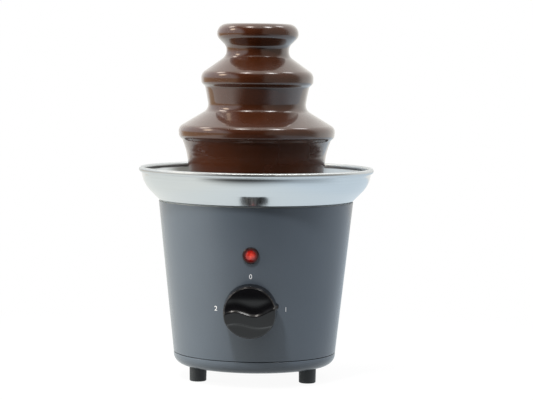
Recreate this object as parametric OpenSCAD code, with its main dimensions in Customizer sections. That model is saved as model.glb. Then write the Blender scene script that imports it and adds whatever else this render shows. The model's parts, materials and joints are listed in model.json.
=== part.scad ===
// Tabletop chocolate fountain: a heated bowl on a tapered base, with a three-tier
// tower that a motor-driven auger feeds. Millimetres, +Z up, front at -Y, origin on
// the table under the middle of the base.

/* [Stand] */
// Height of the rubber feet under the base
foot_h = 10; // [7:0.5:14]
// Diameter of a foot
foot_d = 12; // [11:0.5:15]
// Distance of a foot's middle inside the base's edge
foot_inset = 13; // [12:0.5:18]
// Height of the bottom cover, from its underside to the parting line
cover_h = 8.7; // [7:0.1:12]
// Thickness of the bottom cover
cover_wall = 2.4; // [1.8:0.1:3.2]
// Radius of the cover's rounded lower edge
cover_edge_r = 7.6; // [3:0.2:8]

/* [Housing] */
// Height of the tapered wall, from the parting line to its top edge
housing_h = 106.5; // [99:0.1:120]
// Outside radius at the parting line
housing_bottom_r = 57; // [54:0.5:61]
// Outside radius at the top edge
housing_top_r = 68.4; // [65:0.2:72]
// Thickness of the wall
housing_wall = 2.4; // [1.8:0.1:3.2]

/* [Bowl] */
// Outside radius of the bowl's wall at the rim
bowl_rim_r = 80.6; // [76:0.2:90]
// Depth from the middle of the rolled rim to the floor
bowl_depth = 35; // [32:0.5:38]
// Radius of the bend under the rim
bowl_bend_r = 21; // [17:0.5:24]
// Radius of the bend into the floor
floor_bend_r = 12; // [8:0.5:15]
// Thickness of the sheet
bowl_wall = 0.8; // [0.6:0.1:1.2]
// Radius of the rolled rim
bead_r = 1.8; // [1.3:0.1:2.4]
// Thickness of the gasket between bowl and housing
gasket_t = 0.5; // [0.4:0.1:1]
// Depth of the chocolate in the bowl
pool_depth = 14; // [11:0.5:17]

/* [Tower] */
// Radius of the lower tier's lip
lower_lip_r = 52.4; // [49:0.2:56]
// Height of the lower tier's lip above the bowl's floor
lower_lip_h = 59.2; // [54:0.2:63]
// Slope of the lower tier in degrees
lower_slope = 30.7; // [27:0.1:33]
// Radius of the middle tier's lip
middle_lip_r = 37.1; // [34:0.1:40]
// Height of the middle tier's lip above the bowl's floor
middle_lip_h = 96.6; // [93:0.2:100]
// Slope of the middle tier in degrees
middle_slope = 37.6; // [34:0.1:41]
// Radius of the crown's rim
crown_lip_r = 26.5; // [24:0.1:29]
// Height of the crown's rim above the bowl's floor
crown_rim_h = 134.2; // [132:0.2:142]
// Height of the upright edge of a tier
tier_edge_h = 3.8; // [3:0.1:4.6]
// Radius of the tiers' hubs
tier_hub_r = 19.6; // [19.2:0.1:20.6]
// Thickness of the tiers' shells
tier_wall = 1.5; // [1.2:0.1:2]
// Bore radius of the tower's tube
tube_bore_r = 14.6; // [14.3:0.1:15]
// Thickness of the tube at its top
tube_wall = 1.8; // [1.4:0.1:2]

/* [Chocolate] */
// Thickness of the chocolate on the tiers
coat = 2.5; // [1.5:0.1:3.5]
// Thickness of the falling curtains
film = 2.4; // [1.6:0.1:3]
// Height of the chocolate above the crown's rim
dome_h = 4.1; // [2.5:0.1:6]
// Distance that a curtain hangs below a lip before it draws in
drip_h = 1.2; // [0.5:0.1:2]
// Outside radius of the upper curtain where it meets the lower tier
waist_r = 33.7; // [31:0.1:35]
// Outside radius of the lower curtain at half its height
curtain_mid_r = 48.4; // [46:0.1:51]
// Outside radius of the lower curtain at the pool
curtain_foot_r = 45.4; // [42:0.1:48]

/* [Pump] */
// Radius of the auger's flight
auger_r = 14; // [13:0.1:14.2]
// Radius of the auger's core
auger_core_r = 5; // [4.6:0.1:6.5]
// Rise of the flight in one turn
auger_pitch = 18; // [14:0.5:24]
// Radius of the drive shaft
shaft_r = 4; // [3.5:0.1:4.4]
// Distance of the motor plate below the housing's top edge
plate_drop = 46; // [43:0.5:48]

/* [Gears] */
// Module of the gears
gear_m = 0.8; // [0.72:0.01:0.84]
// Teeth of the output gear
output_teeth = 40; // [36:1:42]
// Teeth of the idler's wheel
idler_teeth = 36; // [32:1:38]
// Teeth of both pinions
pinion_teeth = 12; // [11:1:13]
// Width of a gear
gear_w = 5; // [4:0.1:5.5]

/* [Motor] */
// Radius of the motor's can
motor_r = 16; // [15:0.5:17.5]
// Length of the motor
motor_l = 30; // [24:0.5:33]

/* [Controls] */
// Radius of the knob
knob_r = 18.3; // [16:0.1:21]
// Height of the knob's rim in front of the wall
knob_rim_h = 8.4; // [7:0.1:10]
// Height of the knob's grip in front of the wall
knob_grip_h = 15; // [13:0.1:18]
// Thickness of the S-shaped grip
grip_t = 8.7; // [7:0.1:10]
// Sideways swing of the S-shaped grip
grip_swing = 2.5; // [1:0.1:3]
// Height of the knob above the parting line
knob_h = 36.6; // [33:0.1:38]
// Depth of the rotary switch
switch_depth = 14; // [11:0.5:17]
// Distance of the lamp below the housing's top edge
lamp_drop = 32.8; // [29:0.1:34]
// Diameter of the lamp's bezel
lamp_bezel_d = 11.4; // [10.8:0.1:13]
// Diameter of the lamp's lens
lamp_lens_d = 7; // [5.5:0.1:8.2]

/* [Mains] */
// Height of the cord gland above the parting line
gland_h = 22; // [19:0.5:30]
// Bore diameter of the cord gland
gland_bore_d = 7.2; // [6:0.1:8]

/* [Hidden] */
$fn = 96;

// Clearances: sliding fit, running fit, gap between chocolate and what it runs over
slide = 0.1;
run = 0.05;
skin = 0.25;

// Heights, from the table upwards
cover_z = foot_h;
cover_floor_z = cover_z + cover_wall;
seam_z = cover_z + cover_h;
seat_z = seam_z + housing_h;
taper = (housing_top_r - housing_bottom_r) / housing_h;
wall_tilt = atan(taper);
cone_c = seat_z - housing_top_r + gasket_t * sqrt(2);
bend_end_r = bowl_rim_r - bowl_bend_r * (1 - cos(45));
rim_z = bend_end_r + cone_c + bowl_bend_r * sin(45);
floor_z = rim_z - bowl_depth;
under_z = floor_z - bowl_wall;
flat_r = under_z + floor_bend_r * (1 - 2 * sin(45)) - cone_c;
pool_z = floor_z + pool_depth;

// Levels under the bowl, from the heater plate down to the motor
heater_t = 5;
heater_z = under_z - heater_t;
plate_t = 2;
plate_z = seat_z - plate_drop;
sleeve_l = heater_z - plate_z - plate_t;
wheel_z = plate_z - 1 - gear_w;
output_z = wheel_z - 1 - gear_w;
case_floor_z = output_z - 1;
motor_top_z = case_floor_z - 2;
motor_z = motor_top_z - motor_l;
shaft_end_z = case_floor_z - 4.5;

// Places of the gears
output_pr = gear_m * output_teeth / 2;
idler_pr = gear_m * idler_teeth / 2;
pinion_pr = gear_m * pinion_teeth / 2;
gear_add = 0.8 * gear_m;
idler_y = output_pr + pinion_pr;
motor_a = -10;
motor_x = (idler_pr + pinion_pr) * cos(motor_a);
motor_y = idler_y + (idler_pr + pinion_pr) * sin(motor_a);
case_gap = 1;
case_wall = 1.6;
motor_screw_r = 8.2;

// Fixings of the base, the bowl and the motor plate
foot_circle_r = housing_bottom_r - foot_inset;
stud_circle_r = flat_r - 10.4;
stud_angles = [150, 255, 355];
lug_angles = [80, 200, 320];
foot_angles = [210, 330, 90];
plate_r = housing_r(plate_z) - housing_wall - 1.6;
lug_screw_r = plate_r - 3.6;
case_ears = [[output_pr + 7, 205], [output_pr + 7, 325], [idler_y + idler_pr + 6, 90]];

// Hub in the bowl's floor
hub_bore_r = shaft_r + 1.6;
hub_stem_r = hub_bore_r + 2.3;
hub_stem_z = heater_z - 5;
seal_z = floor_z + 2;
coupling_z = seal_z + 3;
auger_z = coupling_z + 8;
drive_af = 1.75 * shaft_r;

// Heating element and thermostat, between the hub's nut and the studs
hub_nut_af = 2 * hub_stem_r + 2.4;
hub_nut_r = hub_nut_af / 2 / cos(30);
element_r = stud_circle_r - 8;
element_rod_r = 3;
element_lead = 22;
thermostat_room = element_r - element_rod_r - hub_nut_r;
thermostat_r = 0.4 * thermostat_room;
thermostat_x = -hub_nut_r - thermostat_room / 2;

// Tube and tiers
tube_step = 1;
tube_r = [for (i = [0:2]) tube_bore_r + tube_wall + i * tube_step];
hub_h = 8;
lower_z = floor_z + lower_lip_h;
middle_z = floor_z + middle_lip_h;
crown_z = floor_z + crown_rim_h;
lower_top_z = lower_z + tier_edge_h + (lower_lip_r - tier_hub_r) * tan(lower_slope);
middle_top_z = middle_z + tier_edge_h + (middle_lip_r - tier_hub_r) * tan(middle_slope);
crown_edge_z = crown_z - tier_edge_h;
flare_c = crown_edge_z - crown_lip_r;
cup_c = flare_c + tier_wall * sqrt(2);
tube_top_z = cup_c + tube_bore_r - 1.6;
auger_top_z = crown_z - 7;
flange_r = tube_r[2] + 7.6;
post_circle_r = tube_r[2] + 3.1;

// Knob and lamp
knob_z = seam_z + knob_h;
lamp_z = seat_z - lamp_drop;
gland_z = seam_z + gland_h;
pad_in = 4;
knob_gap = 1.2;

// Window for the leads in the motor plate, behind the switch
window_x = 1.5;
window_w = 16;
window_d = 9;
window_y = switch_tab(0)[1] + 1.5;

// Place of the terminal block on the cover
terminal_x = 29 - housing_bottom_r;
terminal_y = 12;
terminal_l = 28;

// Outside radius of the housing at height z
function housing_r(z) = housing_bottom_r + (z - seam_z) * taper;

// Place of a point given on the front wall's own axes: right, up the wall, outwards
function front_point(z, p) =
    [p[0],
    -housing_r(z) - p[1] * sin(wall_tilt) - p[2] * cos(wall_tilt),
    z + p[1] * cos(wall_tilt) - p[2] * sin(wall_tilt)];

// Smooth curve through points, with n steps from one to the next
function spline(p, n = 4) =
    let(last = len(p) - 1)
    concat(
        [for (i = [0:last - 1], k = [0:n - 1])
            let(
                t = k / n,
                a = p[max(i - 1, 0)],
                b = p[i],
                c = p[i + 1],
                d = p[min(i + 2, last)]
            )
            b + 0.5 * ((c - a) * t + (2 * a - 5 * b + 4 * c - d) * t * t
                + (3 * b - a - 3 * c + d) * t * t * t)],
        [p[last]]);

// Points on an arc
function arc(c, r, a0, a1, n = 12) =
    [for (i = [0:n]) c + r * [cos(a0 + (a1 - a0) * i / n), sin(a0 + (a1 - a0) * i / n)]];

// Unit vector of v
function unit(v) = v / norm(v);

// A corner at p between a and b, rounded with radius r
function corner(a, p, b, r) =
    let(
        u = unit(a - p),
        v = unit(b - p),
        half = acos(max(-1, min(1, u * v))) / 2,
        reach = min(r / tan(half), 0.49 * norm(a - p), 0.49 * norm(b - p)),
        rr = reach * tan(half),
        c = p + unit(u + v) * rr / sin(half),
        s = p + u * reach - c,
        a0 = atan2(s[1], s[0]),
        turn = (u[0] * v[1] - u[1] * v[0] > 0 ? -1 : 1) * (180 - 2 * half)
    )
    arc(c, rr, a0, a0 + turn, max(2, ceil(abs(turn) / 12)));

// Outline through corners given as [r, z] or [r, z, rounding]
function rounded(pts) =
    [for (i = [0:len(pts) - 1])
        let(
            n = len(pts),
            p = [pts[i][0], pts[i][1]],
            a = [pts[(i + n - 1) % n][0], pts[(i + n - 1) % n][1]],
            b = [pts[(i + 1) % n][0], pts[(i + 1) % n][1]]
        )
        each (len(pts[i]) > 2 ? corner(a, p, b, pts[i][2]) : [p])];

// Height at radius r of a tier's surface, raised by t
function tier_surface(lip_r, lip_z, slope, r, t) =
    lip_z + tier_edge_h + (lip_r - r) * tan(slope) + t / cos(slope);

// Height of a tier's edge corner when its surface is raised by t
function tier_corner(lip_z, slope, t) =
    lip_z + tier_edge_h + t * (1 - sin(slope)) / cos(slope);

// Solid of revolution from an outline
module lathe(pts) {
    rotate_extrude($fn = 120) {
        polygon(pts);
    }
}

// Ring between two radii
module ring(r_in, r_out, z, h) {
    translate([0, 0, z]) {
        difference() {
            cylinder(r = r_out, h = h);
            translate([0, 0, -1]) {
                cylinder(r = r_in, h = h + 2);
            }
        }
    }
}

// Cylinder from height z
module rod(r, z, h) {
    translate([0, 0, z]) {
        cylinder(r = r, h = h);
    }
}

// Hexagonal prism, af across its flats
module hex(af, z, h) {
    translate([0, 0, z]) {
        cylinder(r = af / 2 / cos(30), h = h, $fn = 6);
    }
}

// Children at radius r for each angle
module around(r, angles) {
    for (a = angles) {
        rotate([0, 0, a]) {
            translate([r, 0, 0]) {
                children();
            }
        }
    }
}

// Children on the housing's wall: x to the right, y up the wall, z outwards
module on_wall(angle, z) {
    rotate([0, 0, angle]) {
        translate([housing_r(z), 0, z]) {
            rotate([0, 90 + wall_tilt, 0]) {
                rotate([0, 0, 90]) {
                    children();
                }
            }
        }
    }
}

// Filled form of the housing, drawn in by inset
module housing_form(inset) {
    lathe([[0, seam_z], [housing_bottom_r - inset, seam_z],
        [housing_top_r - inset, seat_z], [0, seat_z]]);
}

// Insulated lead along a smooth curve
module lead(pts, r) {
    sides = 8;
    path = spline(pts);
    n = len(path);
    way = [for (i = [0:n - 1]) unit(path[min(i + 1, n - 1)] - path[max(i - 1, 0)])];
    points = [for (i = [0:n - 1], k = [0:sides - 1])
        let(
            u = unit(cross(way[i], [1, 1, 1])),
            v = cross(way[i], u)
        )
        path[i] + r * (cos(360 * k / sides) * u + sin(360 * k / sides) * v)];
    faces = concat(
        [[for (k = [0:sides - 1]) k]],
        [for (i = [0:n - 2], k = [0:sides - 1])
            let(
                a = i * sides + k,
                b = i * sides + (k + 1) % sides
            )
            each [[a, a + sides, b + sides], [a, b + sides, b]]],
        [[for (k = [sides - 1:-1:0]) (n - 1) * sides + k]]);
    polyhedron(points, faces);
}

// Pan-head screw that points up, head under height z
module screw_up(r, z, l, head_r) {
    union() {
        rod(r, z - 0.5, l + 0.5);
        rod(head_r, z - 2.4, 2.4);
    }
}

module housing() {
    seam = 0.35;
    color("dimgray") {
        difference() {
            union() {
                lathe([[housing_bottom_r - housing_wall, seam_z],
                    [housing_bottom_r - seam, seam_z],
                    [housing_r(seam_z + seam), seam_z + seam],
                    [housing_top_r, seat_z],
                    [housing_top_r - housing_wall, seat_z - housing_wall]]);
                intersection() {
                    union() {
                        around(lug_screw_r, lug_angles) {
                            translate([-4, -6, plate_z - 7]) {
                                cube([20, 12, 7]);
                            }
                        }
                        around(foot_circle_r, foot_angles) {
                            translate([0, -1.2, seam_z + 5]) {
                                cube([30, 2.4, 7]);
                            }
                        }
                    }
                    housing_form(housing_wall / 2);
                }
                around(foot_circle_r, foot_angles) {
                    rod(4.2, cover_floor_z, cover_h - cover_wall + 12);
                }
                on_wall(-90, knob_z) {
                    rod(9.5, -pad_in, pad_in + 0.6);
                }
                on_wall(-90, lamp_z) {
                    rod(lamp_bezel_d / 2 - 0.2, -pad_in, pad_in + 0.3);
                }
                on_wall(90, gland_z) {
                    rod(9.5, -pad_in, pad_in + 1.2);
                }
            }
            around(lug_screw_r, lug_angles) {
                rod(1.7, plate_z - 8, 9);
            }
            around(foot_circle_r, foot_angles) {
                rod(1.5, cover_floor_z - 1, cover_h + 11);
            }
            on_wall(-90, knob_z) {
                rod(5, -20, 40);
            }
            on_wall(-90, lamp_z) {
                rod(4.5, -20, 40);
            }
            on_wall(90, gland_z) {
                rod(6.2, -20, 40);
            }
        }
    }
}

module bottom_cover() {
    seam = 0.35;
    edge = min(cover_edge_r, cover_h - seam - 0.3);
    spigot_r = housing_bottom_r - housing_wall - 0.15;
    color("dimgray") {
        difference() {
            union() {
                lathe(concat(
                    [[0, cover_floor_z], [0, cover_z]],
                    arc([housing_bottom_r - edge, cover_z + edge], edge, -90, 0),
                    [[housing_bottom_r, seam_z - seam],
                    [housing_bottom_r - seam, seam_z],
                    [spigot_r, seam_z],
                    [spigot_r, seam_z + 4],
                    [spigot_r - 1.8, seam_z + 4],
                    [spigot_r - 1.8, seam_z - 1]],
                    [[housing_bottom_r - edge, cover_floor_z]]));
                translate([terminal_x, terminal_y, 0]) {
                    rod(5, cover_floor_z - 1, 4);
                }
            }
            around(foot_circle_r, foot_angles) {
                rod(1.7, cover_z - 1, cover_wall + 2);
            }
            translate([terminal_x, terminal_y, 0]) {
                rod(1.2, cover_floor_z - 0.6, 6);
            }
            around(12, [0:36:359]) {
                translate([0, -1.25, cover_z - 1]) {
                    cube([10, 2.5, cover_wall + 2]);
                }
            }
        }
    }
}

module foot(angle) {
    color("black") {
        around(foot_circle_r, [angle]) {
            lathe([[3.6, 0], [foot_d / 2 - 0.8, 0], [foot_d / 2, 0.8], [foot_d / 2, foot_h],
                [1.7, foot_h], [1.7, foot_h - 4], [3.6, foot_h - 4]]);
        }
    }
}

module foot_front_left() {
    foot(foot_angles[0]);
}

module foot_front_right() {
    foot(foot_angles[1]);
}

module foot_rear() {
    foot(foot_angles[2]);
}

module cover_screws() {
    color("silver") {
        around(foot_circle_r, foot_angles) {
            screw_up(1.45, foot_h - 4, 4 + cover_h + 8, 3.1);
        }
    }
}

// Bowl's wall between two distances inwards from its outside, up to the rim
function bowl_side(t) =
    concat(
        arc([flat_r, under_z + floor_bend_r], floor_bend_r - t, -90, -45, 10),
        arc([bowl_rim_r - bowl_bend_r, rim_z], bowl_bend_r - t, -45, 0, 12));

function reversed(p) = [for (i = [len(p) - 1:-1:0]) p[i]];

module bowl() {
    color("silver") {
        difference() {
            union() {
                lathe(concat(
                    [[hub_stem_r + slide, under_z]],
                    bowl_side(0),
                    reversed(bowl_side(bowl_wall)),
                    [[hub_stem_r + slide, floor_z]]));
                translate([0, 0, rim_z]) {
                    rotate_extrude($fn = 120) {
                        translate([bowl_rim_r, 0]) {
                            circle(r = bead_r, $fn = 48);
                        }
                    }
                }
            }
            around(stud_circle_r, stud_angles) {
                rod(2.1, under_z - 1, 3);
            }
        }
    }
}

module bowl_gasket() {
    t = (gasket_t - 0.02) / sqrt(2);
    r_in = housing_top_r - housing_wall + 0.2;
    r_out = housing_top_r - 0.3;
    drop = seat_z - housing_top_r;
    color("black") {
        lathe([[r_in, drop + r_in], [r_out, drop + r_out],
            [r_out - t, drop + r_out + t], [r_in - t, drop + r_in + t]]);
    }
}

module bowl_studs() {
    color("silver") {
        around(stud_circle_r, stud_angles) {
            union() {
                rod(2, plate_z - 5, floor_z - plate_z + 5.5);
                rod(4.5, floor_z, 0.8);
            }
        }
    }
}

module tower_posts() {
    color("silver") {
        around(post_circle_r, [0, 120, 240]) {
            lathe([[0, floor_z], [2, floor_z], [2, floor_z + 5.4], [1.2, floor_z + 6.6],
                [0, floor_z + 6.6]]);
        }
    }
}

module heater_plate() {
    color("gainsboro") {
        difference() {
            ring(hub_stem_r + slide, flat_r - 2.4, heater_z, heater_t);
            around(stud_circle_r, stud_angles) {
                rod(2.1, heater_z - 1, heater_t + 2);
            }
            translate([0, 0, heater_z]) {
                rotate_extrude($fn = 120) {
                    translate([element_r, 0]) {
                        circle(r = element_rod_r + slide, $fn = 36);
                    }
                }
            }
        }
    }
}

module heating_element() {
    color("slategray") {
        union() {
            translate([0, 0, heater_z]) {
                rotate([0, 0, -90 + element_lead]) {
                    rotate_extrude(angle = 360 - 2 * element_lead, $fn = 120) {
                        translate([element_r, 0]) {
                            circle(r = element_rod_r, $fn = 36);
                        }
                    }
                }
            }
            around(element_r, [element_lead - 87, -element_lead - 93]) {
                rod(1.3, heater_z - 8, 7);
            }
        }
    }
}

module thermostat() {
    color("gainsboro") {
        translate([thermostat_x, 0, 0]) {
            difference() {
                union() {
                    rod(thermostat_r, heater_z - 5, 5);
                    for (s = [-1, 1]) {
                        translate([-0.4, s * 3 - 1.6, heater_z - 9.5]) {
                            cube([0.8, 3.2, 5]);
                        }
                    }
                }
                for (s = [-1, 1]) {
                    translate([-3, s * 3, heater_z - 8]) {
                        rotate([0, 90, 0]) {
                            cylinder(r = 0.7, h = 6);
                        }
                    }
                }
            }
        }
    }
}

module motor_plate() {
    color("silver") {
        difference() {
            rod(plate_r, plate_z, plate_t);
            rod(shaft_r + 2, plate_z - 1, plate_t + 2);
            around(stud_circle_r, stud_angles) {
                rod(2.1, plate_z - 1, plate_t + 2);
            }
            around(lug_screw_r, lug_angles) {
                rod(1.7, plate_z - 1, plate_t + 2);
            }
            for (e = case_ears) {
                around(e[0], [e[1]]) {
                    rod(1.5, plate_z - 1, plate_t + 2);
                }
            }
            translate([0, idler_y, 0]) {
                rod(2.02, plate_z - 1, plate_t + 2);
            }
            translate([window_x, window_y, plate_z - 1]) {
                cube([window_w, window_d, plate_t + 2]);
            }
        }
    }
}

module spacer_sleeves() {
    color("silver") {
        around(stud_circle_r, stud_angles) {
            ring(2.3, 3.9, plate_z + plate_t, sleeve_l);
        }
    }
}

module stud_nuts() {
    color("silver") {
        around(stud_circle_r, stud_angles) {
            difference() {
                hex(7, plate_z - 3.2, 3.2);
                rod(2.05, plate_z - 4, 5);
            }
        }
    }
}

module plate_screws() {
    color("silver") {
        around(lug_screw_r, lug_angles) {
            screw_up(1.45, plate_z - 7, 7 + plate_t + 3, 2.8);
        }
    }
}

module shaft_hub() {
    color("silver") {
        lathe([[hub_bore_r, hub_stem_z], [hub_stem_r, hub_stem_z], [hub_stem_r, floor_z],
            [hub_stem_r + 4, floor_z], [hub_stem_r + 4, floor_z + 1.4],
            [hub_stem_r + 3.4, floor_z + 2], [hub_bore_r, floor_z + 2]]);
    }
}

module hub_nut() {
    color("silver") {
        difference() {
            hex(hub_nut_af, heater_z - 4, 4);
            rod(hub_stem_r + run, heater_z - 5, 6);
        }
    }
}

module shaft_bush() {
    color("goldenrod") {
        ring(shaft_r + run, hub_bore_r - run, hub_stem_z, floor_z + 2 - hub_stem_z);
    }
}

module shaft_seal() {
    color("brown") {
        lathe([[shaft_r + 0.08, seal_z], [hub_stem_r + 1, seal_z], [hub_stem_r, seal_z + 1.2],
            [shaft_r + 1.4, seal_z + 2.2], [shaft_r + 0.08, seal_z + 2.2]]);
    }
}

// Plan of the gearbox, grown by t beyond the space that the gears need
module case_plan(t, z, h) {
    rod(output_pr + gear_add + case_gap + t, z, h);
    translate([0, idler_y, 0]) {
        rod(idler_pr + gear_add + case_gap + t, z, h);
    }
    translate([motor_x, motor_y, 0]) {
        rod(motor_screw_r + 2.6 + t, z, h);
    }
}

module gearbox_case() {
    floor_t = 2;
    color("ivory") {
        difference() {
            union() {
                case_plan(case_wall, motor_top_z, plate_z - motor_top_z);
                for (e = case_ears) {
                    around(e[0], [e[1]]) {
                        rod(4.6, motor_top_z, plate_z - motor_top_z);
                    }
                }
                rod(shaft_r + 3, shaft_end_z - 2, 5);
            }
            difference() {
                case_plan(0, case_floor_z, plate_z - case_floor_z + 1);
                rod(shaft_r + 3, case_floor_z - 1, 1.5);
                translate([0, idler_y, 0]) {
                    rod(4, case_floor_z - 1, 1.6);
                }
                for (e = case_ears) {
                    around(e[0], [e[1]]) {
                        rod(4.6, case_floor_z - 1, plate_z - case_floor_z + 3);
                    }
                }
            }
            rod(shaft_r + run, shaft_end_z - 0.3, 20);
            translate([0, idler_y, 0]) {
                rod(2.02, motor_top_z - 1, 10);
            }
            for (e = case_ears) {
                around(e[0], [e[1]]) {
                    rod(1.7, motor_top_z - 1, plate_z - motor_top_z + 2);
                }
            }
            translate([motor_x, motor_y, 0]) {
                rod(3.2, motor_top_z - 1, floor_t + 2);
                around(motor_screw_r, [90, 270]) {
                    rod(1.6, motor_top_z - 1, floor_t + 2);
                }
            }
        }
    }
}

module gearbox_screws() {
    color("silver") {
        for (e = case_ears) {
            around(e[0], [e[1]]) {
                screw_up(1.45, motor_top_z, plate_z - motor_top_z + plate_t + 2, 2.8);
            }
        }
    }
}

module idler_pin() {
    color("silver") {
        translate([0, idler_y, 0]) {
            rod(2, motor_top_z, plate_z + plate_t - motor_top_z);
        }
    }
}

module motor_can() {
    t = 0.9;
    color("silver") {
        translate([motor_x, motor_y, 0]) {
            lathe([[1.65, motor_z - 2], [3.5, motor_z - 2], [3.5, motor_z],
                [motor_r - 1.2, motor_z], [motor_r, motor_z + 1.2],
                [motor_r, motor_top_z - 1.6], [motor_r - t, motor_top_z - 1.6],
                [motor_r - t, motor_z + 1.2], [1.65, motor_z + 1.2]]);
        }
    }
}

module motor_endcap() {
    color("dimgray") {
        translate([motor_x, motor_y, 0]) {
            difference() {
                union() {
                    rod(motor_r, motor_top_z - 1.6, 1.6);
                    rod(3.1, motor_top_z - 2.6, 4);
                }
                rod(1.65, motor_top_z - 4, 8);
                around(motor_screw_r, [90, 270]) {
                    rod(1.3, motor_top_z - 3, 6);
                }
            }
        }
    }
}

module motor_terminals() {
    color("goldenrod") {
        translate([motor_x, motor_y, 0]) {
            for (x = [-8, 8]) {
                translate([x - 2, -0.4, motor_z - 5]) {
                    cube([4, 0.8, 5]);
                }
            }
        }
    }
}

module motor_magnets() {
    color("dimgray") {
        translate([motor_x, motor_y, 0]) {
            for (a = [15, 195]) {
                rotate([0, 0, a]) {
                    rotate_extrude(angle = 150) {
                        translate([motor_r - 4.6, motor_z + 4]) {
                            square([3.6, motor_l - 10]);
                        }
                    }
                }
            }
        }
    }
}

module motor_screws() {
    color("silver") {
        translate([motor_x, motor_y, 0]) {
            around(motor_screw_r, [90, 270]) {
                union() {
                    rod(1.25, motor_top_z - 1.5, 4);
                    rod(2.2, case_floor_z, 1.4);
                }
            }
        }
    }
}

module rotary_switch() {
    back = -pad_in - switch_depth;
    color("saddlebrown") {
        on_wall(-90, knob_z) {
            difference() {
                union() {
                    translate([-12, -12, back]) {
                        cube([24, 24, switch_depth]);
                    }
                    rod(4.9, -pad_in - 1, pad_in + 4.2);
                    for (x = [-7, 0, 7]) {
                        translate([x - 2, -0.4, back - 6]) {
                            cube([4, 0.8, 7]);
                        }
                    }
                }
                rod(3 + run, back + 2, 40);
                for (x = [-1, 1], y = [-1, 1]) {
                    translate([x * 12, y * 12, 0]) {
                        rotate([0, 0, 45]) {
                            translate([-3, -3, back - 1]) {
                                cube([6, 6, switch_depth + 2]);
                            }
                        }
                    }
                }
            }
        }
    }
}

module switch_nut() {
    color("silver") {
        on_wall(-90, knob_z) {
            difference() {
                hex(13, 0.6, 2.2);
                rod(4.95, 0, 4);
            }
        }
    }
}

module switch_spindle() {
    back = -pad_in - switch_depth;
    color("silver") {
        on_wall(-90, knob_z) {
            difference() {
                rod(3, back + 2.3, knob_rim_h - 0.4 - back - 2.3);
                translate([-5, 1.8, 5]) {
                    cube([10, 5, 20]);
                }
            }
        }
    }
}

// Edges of the top of the knob's S-shaped grip at x
function grip_upper(x) = 1.4 + grip_swing * cos(214 * x / knob_r + 145) + 0.1 * x;
function grip_lower(x) = 1.4 - grip_t + 0.52 * grip_swing * cos(214 * x / knob_r + 105);

// Grip with sloped sides, longer than the knob is wide
module grip() {
    steps = 12;
    foot = knob_gap + 1.4;
    rise = knob_grip_h - foot;
    points = [for (i = [-steps:steps])
        let(x = i * (knob_r + 1) / steps)
        each [[x, grip_lower(x) - rise / tan(50), foot], [x, grip_upper(x) + rise / tan(57), foot],
            [x, grip_upper(x), knob_grip_h], [x, grip_lower(x), knob_grip_h]]];
    last = len(points) - 1;
    faces = concat(
        [[0, 1, 2, 3]],
        [for (i = [0:2 * steps - 1], k = [0:3])
            let(
                a = i * 4 + k,
                b = i * 4 + (k + 1) % 4
            )
            each [[a, a + 4, b + 4], [a, b + 4, b]]],
        [[last, last - 1, last - 2, last - 3]]);
    polyhedron(points, faces);
}

module knob() {
    color("black") {
        on_wall(-90, knob_z) {
            difference() {
                union() {
                    lathe(rounded([[0, knob_gap], [knob_r - 0.4, knob_gap],
                        [knob_r, knob_gap + 1], [knob_r - 1.7, knob_rim_h, 0.8],
                        [0, knob_rim_h - 0.6]]));
                    intersection() {
                        grip();
                        lathe(rounded([[0, 0], [knob_r - 0.05, 0],
                            [knob_r - 0.65, knob_grip_h - 0.4, 1.2], [0, knob_grip_h + 0.5]]));
                    }
                    translate([0, 0, knob_gap + 1.6]) {
                        linear_extrude(height = knob_rim_h - knob_gap - 3) {
                            polygon([[knob_r - 3, 0.8], [knob_r + 1.4, 2.8], [knob_r + 1.4, 3.8],
                                [knob_r - 3, 6]]);
                        }
                    }
                }
                rod(11, knob_gap - 1, 3.8);
                difference() {
                    rod(3 + run, knob_gap, knob_rim_h - 0.2 - knob_gap);
                    translate([-5, 1.8 + run, 5]) {
                        cube([10, 5, 20]);
                    }
                }
            }
        }
    }
}

module lamp_bezel() {
    r = lamp_bezel_d / 2;
    color("black") {
        on_wall(-90, lamp_z) {
            lathe([[lamp_lens_d / 2 + 0.1, 0.3], [r, 0.3], [r, 0.9], [r - 0.6, 1.5],
                [lamp_lens_d / 2 + 0.7, 1.5], [lamp_lens_d / 2 + 0.1, 1.1]]);
        }
    }
}

module lamp_lens() {
    r = lamp_lens_d / 2;
    dome = 1.1;
    ball = (r * r + dome * dome) / (2 * dome);
    color("red") {
        on_wall(-90, lamp_z) {
            lathe(concat([[0, 0.3], [r, 0.3]],
                arc([0, 1.2 + dome - ball], ball, atan2(ball - dome, r), 90)));
        }
    }
}

module lamp_body() {
    color("ivory") {
        on_wall(-90, lamp_z) {
            union() {
                rod(4.4, -14, 14.3);
                for (x = [-2, 2]) {
                    translate([x - 0.4, -1.4, -20]) {
                        cube([0.8, 2.8, 7]);
                    }
                }
            }
        }
    }
}

module lamp_clip() {
    color("silver") {
        on_wall(-90, lamp_z) {
            ring(4.42, 7.4, -pad_in - 0.8, 0.8);
        }
    }
}

module terminal_block() {
    z = cover_floor_z + 3;
    color("ivory") {
        translate([terminal_x, terminal_y, 0]) {
            difference() {
                union() {
                    translate([-7, -terminal_l / 2, z]) {
                        cube([14, terminal_l, 5]);
                    }
                    for (y = [-9.5, 9.5]) {
                        translate([-5.5, y - 4.5, z + 4]) {
                            cube([11, 9, 8]);
                        }
                    }
                }
                rod(1.5, z - 1, 10);
                for (y = [-9.5, 9.5]) {
                    translate([0, y, 0]) {
                        rod(2.2, z + 8, 6);
                    }
                    translate([-8, y, z + 6.5]) {
                        rotate([0, 90, 0]) {
                            cylinder(r = 1.5, h = 16);
                        }
                    }
                }
            }
        }
    }
}

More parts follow.
